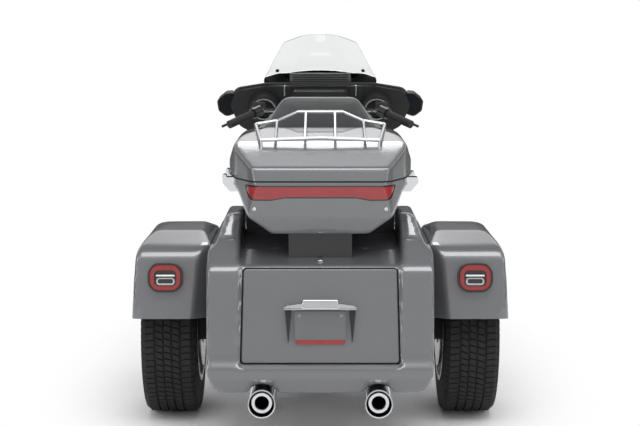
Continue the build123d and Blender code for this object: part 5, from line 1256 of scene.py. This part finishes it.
class TOURER_OT_exhaust_soot_and_shade(bpy.types.Operator):
    """Line the exhaust tips in black: soot and painted shadow"""

    bl_idname = "tourer.exhaust_soot"
    bl_label = "Soot and painted shade in the exhaust tips"

    def execute(self, context):
        liners, rims = [], []
        for hand in SIDES:
            plane = silencer_plane(hand)
            for outer, inner, start, hollow, mouth in LININGS:
                liner = drum("liner", outer, plane, start, mouth, 64)
                liners.append(bored(liner, inner, plane, hollow, 1400))
            rim = drum("rim", 35.6, plane, 1305.1, 1312, 64)
            bored(rim, 25.4, plane, 1300, 1320)
            rims.append(bevelled(rim, 4.4, 5, 50))
        # The linings' black is soot and painted shadow inside the tips
        piece(liners, "exhaust_soot", "chassis", "soot", "black_steel")
        piece(rims, "exhaust_rims", "chassis", "chrome", "chrome")
        return {"FINISHED"}


# Cushions

FILL_FRAMES = 20
FILL_PRESSURE = 4.0


def stuffed(cushion, grain, swell):
    """Lets cloth under pressure round a cushion's form, no point moving further than the swell."""
    applied(cushion, "REMESH", mode="VOXEL", voxel_size=grain)
    rest = [vertex.co.copy() for vertex in cushion.data.vertices]
    only(cushion)
    cloth = cushion.modifiers.new("fill", "CLOTH")
    cloth.settings.use_pressure = True
    cloth.settings.uniform_pressure_force = FILL_PRESSURE
    cloth.settings.effector_weights.gravity = 0.0
    cloth.point_cache.frame_start = 1
    cloth.point_cache.frame_end = FILL_FRAMES
    for number in range(1, FILL_FRAMES + 1):
        bpy.context.scene.frame_set(number)
    bpy.ops.object.modifier_apply(modifier=cloth.name)
    bpy.context.scene.frame_set(1)
    for vertex, start in zip(cushion.data.vertices, rest):
        moved = vertex.co - start
        if moved.length > swell:
            vertex.co = start + moved.normalized() * swell
    applied(cushion, "SMOOTH", factor=0.5, iterations=4)
    return applied(cushion, "SUBSURF", levels=1, render_levels=1)


class TOURER_OT_seat(bpy.types.Operator):
    """Fill the two-up seat"""

    bl_idname = "tourer.seat"
    bl_label = "Seat"

    def execute(self, context):
        side = [
            (67, 690, 0),
            (67, 786, 20),
            (-60, 744, 90),
            (-250, 740, 60),
            (-335, 827, 50),
            (-480, 834, 90),
            (REAR.y + 28, 842, 20),
            (REAR.y + 28, 706, 0),
            (-362, 706, 0),
            (-362, 690, 0),
        ]
        top = mirrored([
            (82, 70, 20), (167, -60, 110), (182, -230, 60),
            (143, -330, 50), (170, -420, 80), (142, REAR.y + 22, 50),
        ])
        seat = form("seat", [(side, SIDE, -200, 200), (top, ABOVE, 600, 900)])
        stuffed(seat, 0.008, context.scene.tourer_cushions.swell)
        piece(seat, "seat_cushion", "chassis", "vinyl", "upholstery", "seat")
        return {"FINISHED"}


class TOURER_OT_backrest(bpy.types.Operator):
    """Fill the passenger's backrest with its side wings"""

    bl_idname = "tourer.backrest"
    bl_label = "Backrest"

    def execute(self, context):
        front = REAR.y + 85
        back = CASE_FRONT + 2
        rows = mirrored([
            (142, 1215, 50), (198, 1126, 55), (255, 1064, 28),
            (255, 941, 26), (146, 911, 26), (134, 869, 16),
        ])
        plan = [
            (208, front + 112, 16), (255, front + 112, 16), (255, back + 4, 16), (-255, back + 4, 16),
            (-255, front + 112, 16), (-208, front + 112, 16), (-170, front - 6, 50), (170, front - 6, 50),
        ]
        cushion = form("backrest", [(rows, BEHIND, -front - 130, -back + 20), (plan, ABOVE, 800, 1300)])
        cut(cushion, panel(900, 30, 0, 0, CASE_FRONT), ABOVE, SEAM - 8, 1400)
        stuffed(cushion, 0.0065, context.scene.tourer_cushions.swell * 0.6)
        piece(cushion, "backrest_cushion", "chassis", "vinyl", "upholstery", "passenger_backrest")
        return {"FINISHED"}


# Cockpit

# Speaker pods' middles and the radius of their mesh, and the level of the dash's face, on FORK_BACK
POD_PLACE = (262, 1200)
POD_MESH = 48
DASH = -73


class TOURER_OT_dash(bpy.types.Operator):
    """Add the speaker grilles, instrument glass, trim and vent hood to the inner fairing"""

    bl_idname = "tourer.dash"
    bl_label = "Dash details"

    def execute(self, context):
        rings, grilles = [], []
        for hand in SIDES:
            plane = shifted(FORK_BACK, hand * POD_PLACE[0], POD_PLACE[1])
            rim = drum("rim", 56, plane, DASH + 34, DASH + 41, 64)
            bored(rim, 50, plane, DASH + 20, DASH + 60)
            rings.append(bevelled(rim, 1.5, 3, 50))
            for number in range(9):
                rise = -40 + 10 * number
                half = (POD_MESH ** 2 - rise ** 2) ** 0.5
                rows = panel(2 * half, 4, 1.8, 0, rise)
                slat = prism("slat", rows, plane, DASH + 27, DASH + 31)
                grilles.append(bevelled(slat, 0.8, 2, 50))
        piece(rings, "speaker_rims", "steering", "chrome", "chrome")
        piece(grilles, "speaker_grilles", "steering", "black_plastic", "black_plastic")
        glass = prism("glass", panel(204, 117, 8, 0, 1206), FORK_BACK, DASH + 24.3, DASH + 27.5)
        piece(bevelled(glass, 1, 2, 50), "instrument_glass", "steering", "gloss_plastic", "black_plastic")
        trims = []
        for hand in SIDES:
            rows = panel(7, 56, 3, hand * 165, 1280)
            trim = prism("trim", rows, FORK_BACK, DASH + 0.3, DASH + 9)
            trims.append(bevelled(trim, 2, 3, 50))
        piece(trims, "dash_trims", "steering", "chrome", "chrome")
        hood_rows = [(624, 1190, 0), (626, 1226, 10), (642, 1256, 14), (668, 1264, 10), (680, 1190, 0)]
        hood = prism("hood", hood_rows, SIDE, -142, 142)
        for number in range(4):
            low = 1216 + 11 * number
            slot = [(600, low, 0), (600, low + 5, 0), (650, low + 5, 0), (650, low, 0)]
            cut(hood, slot, SIDE, -128, 128)
        piece(bevelled(hood, 1.5, 2, 40), "vent_hood", "steering", "black_plastic", "black_plastic")
        screen = frame["nodes"]["windscreen"]
        cowl = twin(screen)
        applied(closed(cowl), "DISPLACE", strength=0.0012, mid_level=0.0)
        band = mirrored([(149, 1324, 0), (205, 1334, 20), (255, 1331, 20), (320, 1318, 0), (320, 1150, 0)])
        combined(cowl, prism("band", band, FORK_BACK, -400, 100), "INTERSECT")
        piece(cowl, "screen_cowl", "steering", "gloss_plastic", "black_plastic")
        fixings = []
        for hand in SIDES:
            spot, normal = struck(screen, (hand * 200, 0, 1272), (0, 1, 0))
            fixings.append(bolt("fixing", 9, placed(spot, (1, 0, 0), normal), -1, 6))
        piece(fixings, "screen_fixings", "steering", "black_plastic", "black_plastic")
        return {"FINISHED"}


class TOURER_OT_mirror_faces(bpy.types.Operator):
    """Add the mirror glass in each housing"""

    bl_idname = "tourer.mirror_faces"
    bl_label = "Mirror glass"

    def execute(self, context):
        faces = []
        for hand in SIDES:
            rows = [
                (hand * 402, 1254, 10), (hand * 438, 1250, 18), (hand * 474, 1218, 20),
                (hand * 469, 1170, 22), (hand * 438, 1142, 22), (hand * 406, 1156, 12),
            ]
            faces.append(bevelled(prism("face", rows, FORK_BACK, -79.7, -77), 1, 2, 50))
        piece(faces, "mirror_faces", "steering", "mirror_glass", "chrome")
        return {"FINISHED"}


# Studio

# Floor round the object: its stretch across and along, and where it starts and ends to fade to white
FLOOR_OVAL = (1.75, 0.8, 1.0)
FADE_START = 1.15
FADE_END = 2.1


def softbox(name, size, place, aim, power):
    """Rectangular lamp that looks at a point."""
    data = bpy.data.lights.new(name, "AREA")
    data.shape = "RECTANGLE"
    data.size, data.size_y = size
    data.energy = power
    lamp = bpy.data.objects.new(name, data)
    bpy.context.scene.collection.objects.link(lamp)
    lamp.location = place
    lamp.rotation_euler = (Vector(aim) - Vector(place)).to_track_quat("-Z", "Y").to_euler()
    return lamp


def flag(name, size, place, aim, share):
    """Dark cloth that only reflections see, upright, turned to a point and thinner towards its edges."""
    only()
    bpy.ops.mesh.primitive_plane_add(size=1)
    card = bpy.context.object
    card.name = name
    card.scale = (size[0], size[1], 1)
    card.location = place
    card.rotation_euler = (Vector(aim) - Vector(place)).to_track_quat("Z", "Y").to_euler()
    made, tree, shader, spot = blank(name + "_cloth", {"Specular IOR Level": 0.0})
    grained(tree, shader, spot, 50, 0.1, (0.9, 1.0), (linear("#0b0b0b"), linear("#101010")))
    across = add_node(
        tree, "ShaderNodeVectorMath", {"operation": "SUBTRACT", 1: (0.5, 0.5, 0)},
        {0: add_node(tree, "ShaderNodeTexCoord").outputs["UV"]})
    away = add_node(tree, "ShaderNodeVectorMath", {"operation": "ABSOLUTE"}, {0: across.outputs["Vector"]})
    parts = add_node(tree, "ShaderNodeSeparateXYZ", None, {0: away.outputs["Vector"]})
    edge = add_node(
        tree, "ShaderNodeMath", {"operation": "MAXIMUM"}, {0: parts.outputs["X"], 1: parts.outputs["Y"]})
    cover = add_node(
        tree, "ShaderNodeMapRange",
        {
            "interpolation_type": "SMOOTHSTEP", "From Min": 0.28, "From Max": 0.5,
            "To Min": share, "To Max": 0.0,
        },
        {"Value": edge.outputs[0]})
    clear = add_node(tree, "ShaderNodeBsdfTransparent")
    cloth = add_node(
        tree, "ShaderNodeMixShader", None,
        {0: cover.outputs["Result"], 1: clear.outputs["BSDF"], 2: shader.outputs["BSDF"]})
    tree.links.new(cloth.outputs["Shader"], tree.nodes["Material Output"].inputs["Surface"])
    card.data.materials.append(made)
    card.visible_camera = False
    card.visible_diffuse = False
    card.visible_transmission = False
    card.visible_shadow = False


# Dark cloths. Columns: name, size, place, what it faces, how much it covers
FLAGS = (
    ("rear_flag", (18, 11), (0, -12, 4.0), (0, -1, 0.5), 0.3),
    ("front_flag", (18, 7), (0, 7, 0.6), (0, -1, 0.6), 0.9),
    ("ceiling_flag", (14, 13), (0, 0.5, 6), (0, 0.5, 0), 0.65),
    ("side_flag", (14, 4), (-5, -1.5, 1.2), (0, -1.5, 0.9), 0.9),
    ("side_flag", (14, 4), (5, -1.5, 1.2), (0, -1.5, 0.9), 0.9),
)

# Strength of the white background for diffuse rays. The camera, reflections and glass see it at 1
ROOM_LIGHT = 0.64
OBJECT_AIM = (0, REAR.y * MM, 0.6)
SENSOR = 36
CAMERA_ACROSS = -0.001

# Lamps. Columns: name, size, place, what it faces, share of the large lamp's power
LAMPS = (
    ("rear_softbox", (4.5, 2.2), (0.4, -3.4, 4.8), OBJECT_AIM, 1.0),
    ("lid_softbox", (1.5, 1.6), (0, 2.4, 4.1), (0, -0.9, 1.0), 0.26),
    ("left_strip", (0.8, 2.6), (-3.6, -3.4, 1.8), OBJECT_AIM, 0.2),
    ("right_strip", (0.8, 2.6), (3.6, -3.0, 1.8), OBJECT_AIM, 0.17),
)


class TOURER_OT_stage(bpy.types.Operator):
    """Set the pale floor, the soft light, the white background and the camera"""

    bl_idname = "tourer.stage"
    bl_label = "Studio"

    def execute(self, context):
        settings = context.scene.tourer_stage
        only()
        bpy.ops.mesh.primitive_plane_add(size=60, location=(0, 0, -0.0005))
        floor = context.object
        floor.name = "floor"
        made, tree, shader, place = blank("matt_studio_floor", {"Roughness": 0.9, "Specular IOR Level": 0.1})
        grained(tree, shader, place, 40, 0.02, (0.85, 0.95), (linear("#f4f4f4"), linear("#f8f8f8")), 2.0)
        oval = add_node(tree, "ShaderNodeMapping", {"Scale": FLOOR_OVAL}, {"Vector": place})
        reach = add_node(tree, "ShaderNodeVectorMath", {"operation": "LENGTH"}, {0: oval.outputs["Vector"]})
        fade = add_node(
            tree, "ShaderNodeMapRange",
            {"interpolation_type": "SMOOTHSTEP", "From Min": FADE_START, "From Max": FADE_END},
            {"Value": reach.outputs["Value"]})
        rays = add_node(tree, "ShaderNodeLightPath")
        diffuse = add_node(
            tree, "ShaderNodeMath", {"operation": "SUBTRACT", 0: 1.0}, {1: rays.outputs["Is Diffuse Ray"]})
        share = add_node(
            tree, "ShaderNodeMath", {"operation": "MULTIPLY"},
            {0: fade.outputs["Result"], 1: diffuse.outputs[0]})
        glow = add_node(tree, "ShaderNodeEmission", {"Color": (1, 1, 1, 1), "Strength": 1.0})
        blend = add_node(
            tree, "ShaderNodeMixShader", {},
            {0: share.outputs[0], 1: shader.outputs["BSDF"], 2: glow.outputs["Emission"]})
        tree.links.new(blend.outputs["Shader"], tree.nodes["Material Output"].inputs["Surface"])
        floor.data.materials.append(made)

        for name, size, spot, aim, cover in FLAGS:
            flag(name, size, spot, aim, cover)

        world = bpy.data.worlds.new("white_studio")
        context.scene.world = world
        world.use_nodes = True
        tree = world.node_tree
        backdrop = tree.nodes["Background"]
        rays = add_node(tree, "ShaderNodeLightPath")
        seen = add_node(
            tree, "ShaderNodeMath", {"operation": "ADD"},
            {0: rays.outputs["Is Camera Ray"], 1: rays.outputs["Is Glossy Ray"]})
        through = add_node(
            tree, "ShaderNodeMath", {"operation": "ADD", "use_clamp": True},
            {0: seen.outputs[0], 1: rays.outputs["Is Transmission Ray"]})
        strength = add_node(
            tree, "ShaderNodeMapRange", {"To Min": ROOM_LIGHT, "To Max": 1.0}, {"Value": through.outputs[0]})
        tree.links.new(strength.outputs["Result"], backdrop.inputs["Strength"])
        backdrop.inputs["Color"].default_value = (1, 1, 1, 1)

        for name, size, spot, aim, power in LAMPS:
            softbox(name, size, spot, aim, settings.softbox * power)

        data = bpy.data.cameras.new("camera")
        data.lens = settings.lens
        data.sensor_width = SENSOR
        data.clip_end = 200
        camera = bpy.data.objects.new("camera", data)
        context.scene.collection.objects.link(camera)
        camera.location = (CAMERA_ACROSS, REAR.y * MM - settings.distance, settings.height)
        camera.rotation_euler = (pi / 2 - settings.tilt, 0, 0)
        context.scene.camera = camera
        context.scene.view_settings.view_transform = "Standard"
        return {"FINISHED"}


STEPS = (
    TOURER_OT_finishes,
    TOURER_OT_rear_fenders,
    TOURER_OT_trunk,
    TOURER_OT_trunk_door,
    TOURER_OT_plate,
    TOURER_OT_fender_lamps,
    TOURER_OT_tyres,
    TOURER_OT_top_case,
    TOURER_OT_bolts,
    TOURER_OT_exhaust_soot_and_shade,
    TOURER_OT_tank,
    TOURER_OT_seat,
    TOURER_OT_backrest,
    TOURER_OT_dash,
    TOURER_OT_mirror_faces,
    TOURER_OT_stage,
)

SETTINGS = {
    "tourer_panels": PanelSettings,
    "tourer_tyres": TyreSettings,
    "tourer_lamps": LampSettings,
    "tourer_cushions": CushionSettings,
    "tourer_stage": StageSettings,
}


class TOURER_PT_panel(bpy.types.Panel):
    """Lists the steps that dress the motorcycle, and their settings"""

    bl_idname = "TOURER_PT_panel"
    bl_label = "Three-wheeled tourer"
    bl_space_type = "VIEW_3D"
    bl_region_type = "UI"
    bl_category = "Tourer"

    def draw(self, context):
        for key, group in SETTINGS.items():
            box = self.layout.box()
            box.label(text=group.__doc__)
            for field in group.__annotations__:
                box.prop(getattr(context.scene, key), field)
        for step in STEPS:
            self.layout.operator(step.bl_idname)


def register():
    for group in SETTINGS.values():
        bpy.utils.register_class(group)
    for key, group in SETTINGS.items():
        setattr(bpy.types.Scene, key, PointerProperty(type=group))
    for step in (*STEPS, TOURER_PT_panel):
        bpy.utils.register_class(step)


def unregister():
    for step in reversed((*STEPS, TOURER_PT_panel)):
        bpy.utils.unregister_class(step)
    for key, group in SETTINGS.items():
        delattr(bpy.types.Scene, key)
        bpy.utils.unregister_class(group)


def main():
    """Registers the add-on and runs every step in order."""
    register()
    for step in STEPS:
        space, name = step.bl_idname.split(".")
        getattr(getattr(bpy.ops, space), name)()


if __name__ == "__main__":
    main()
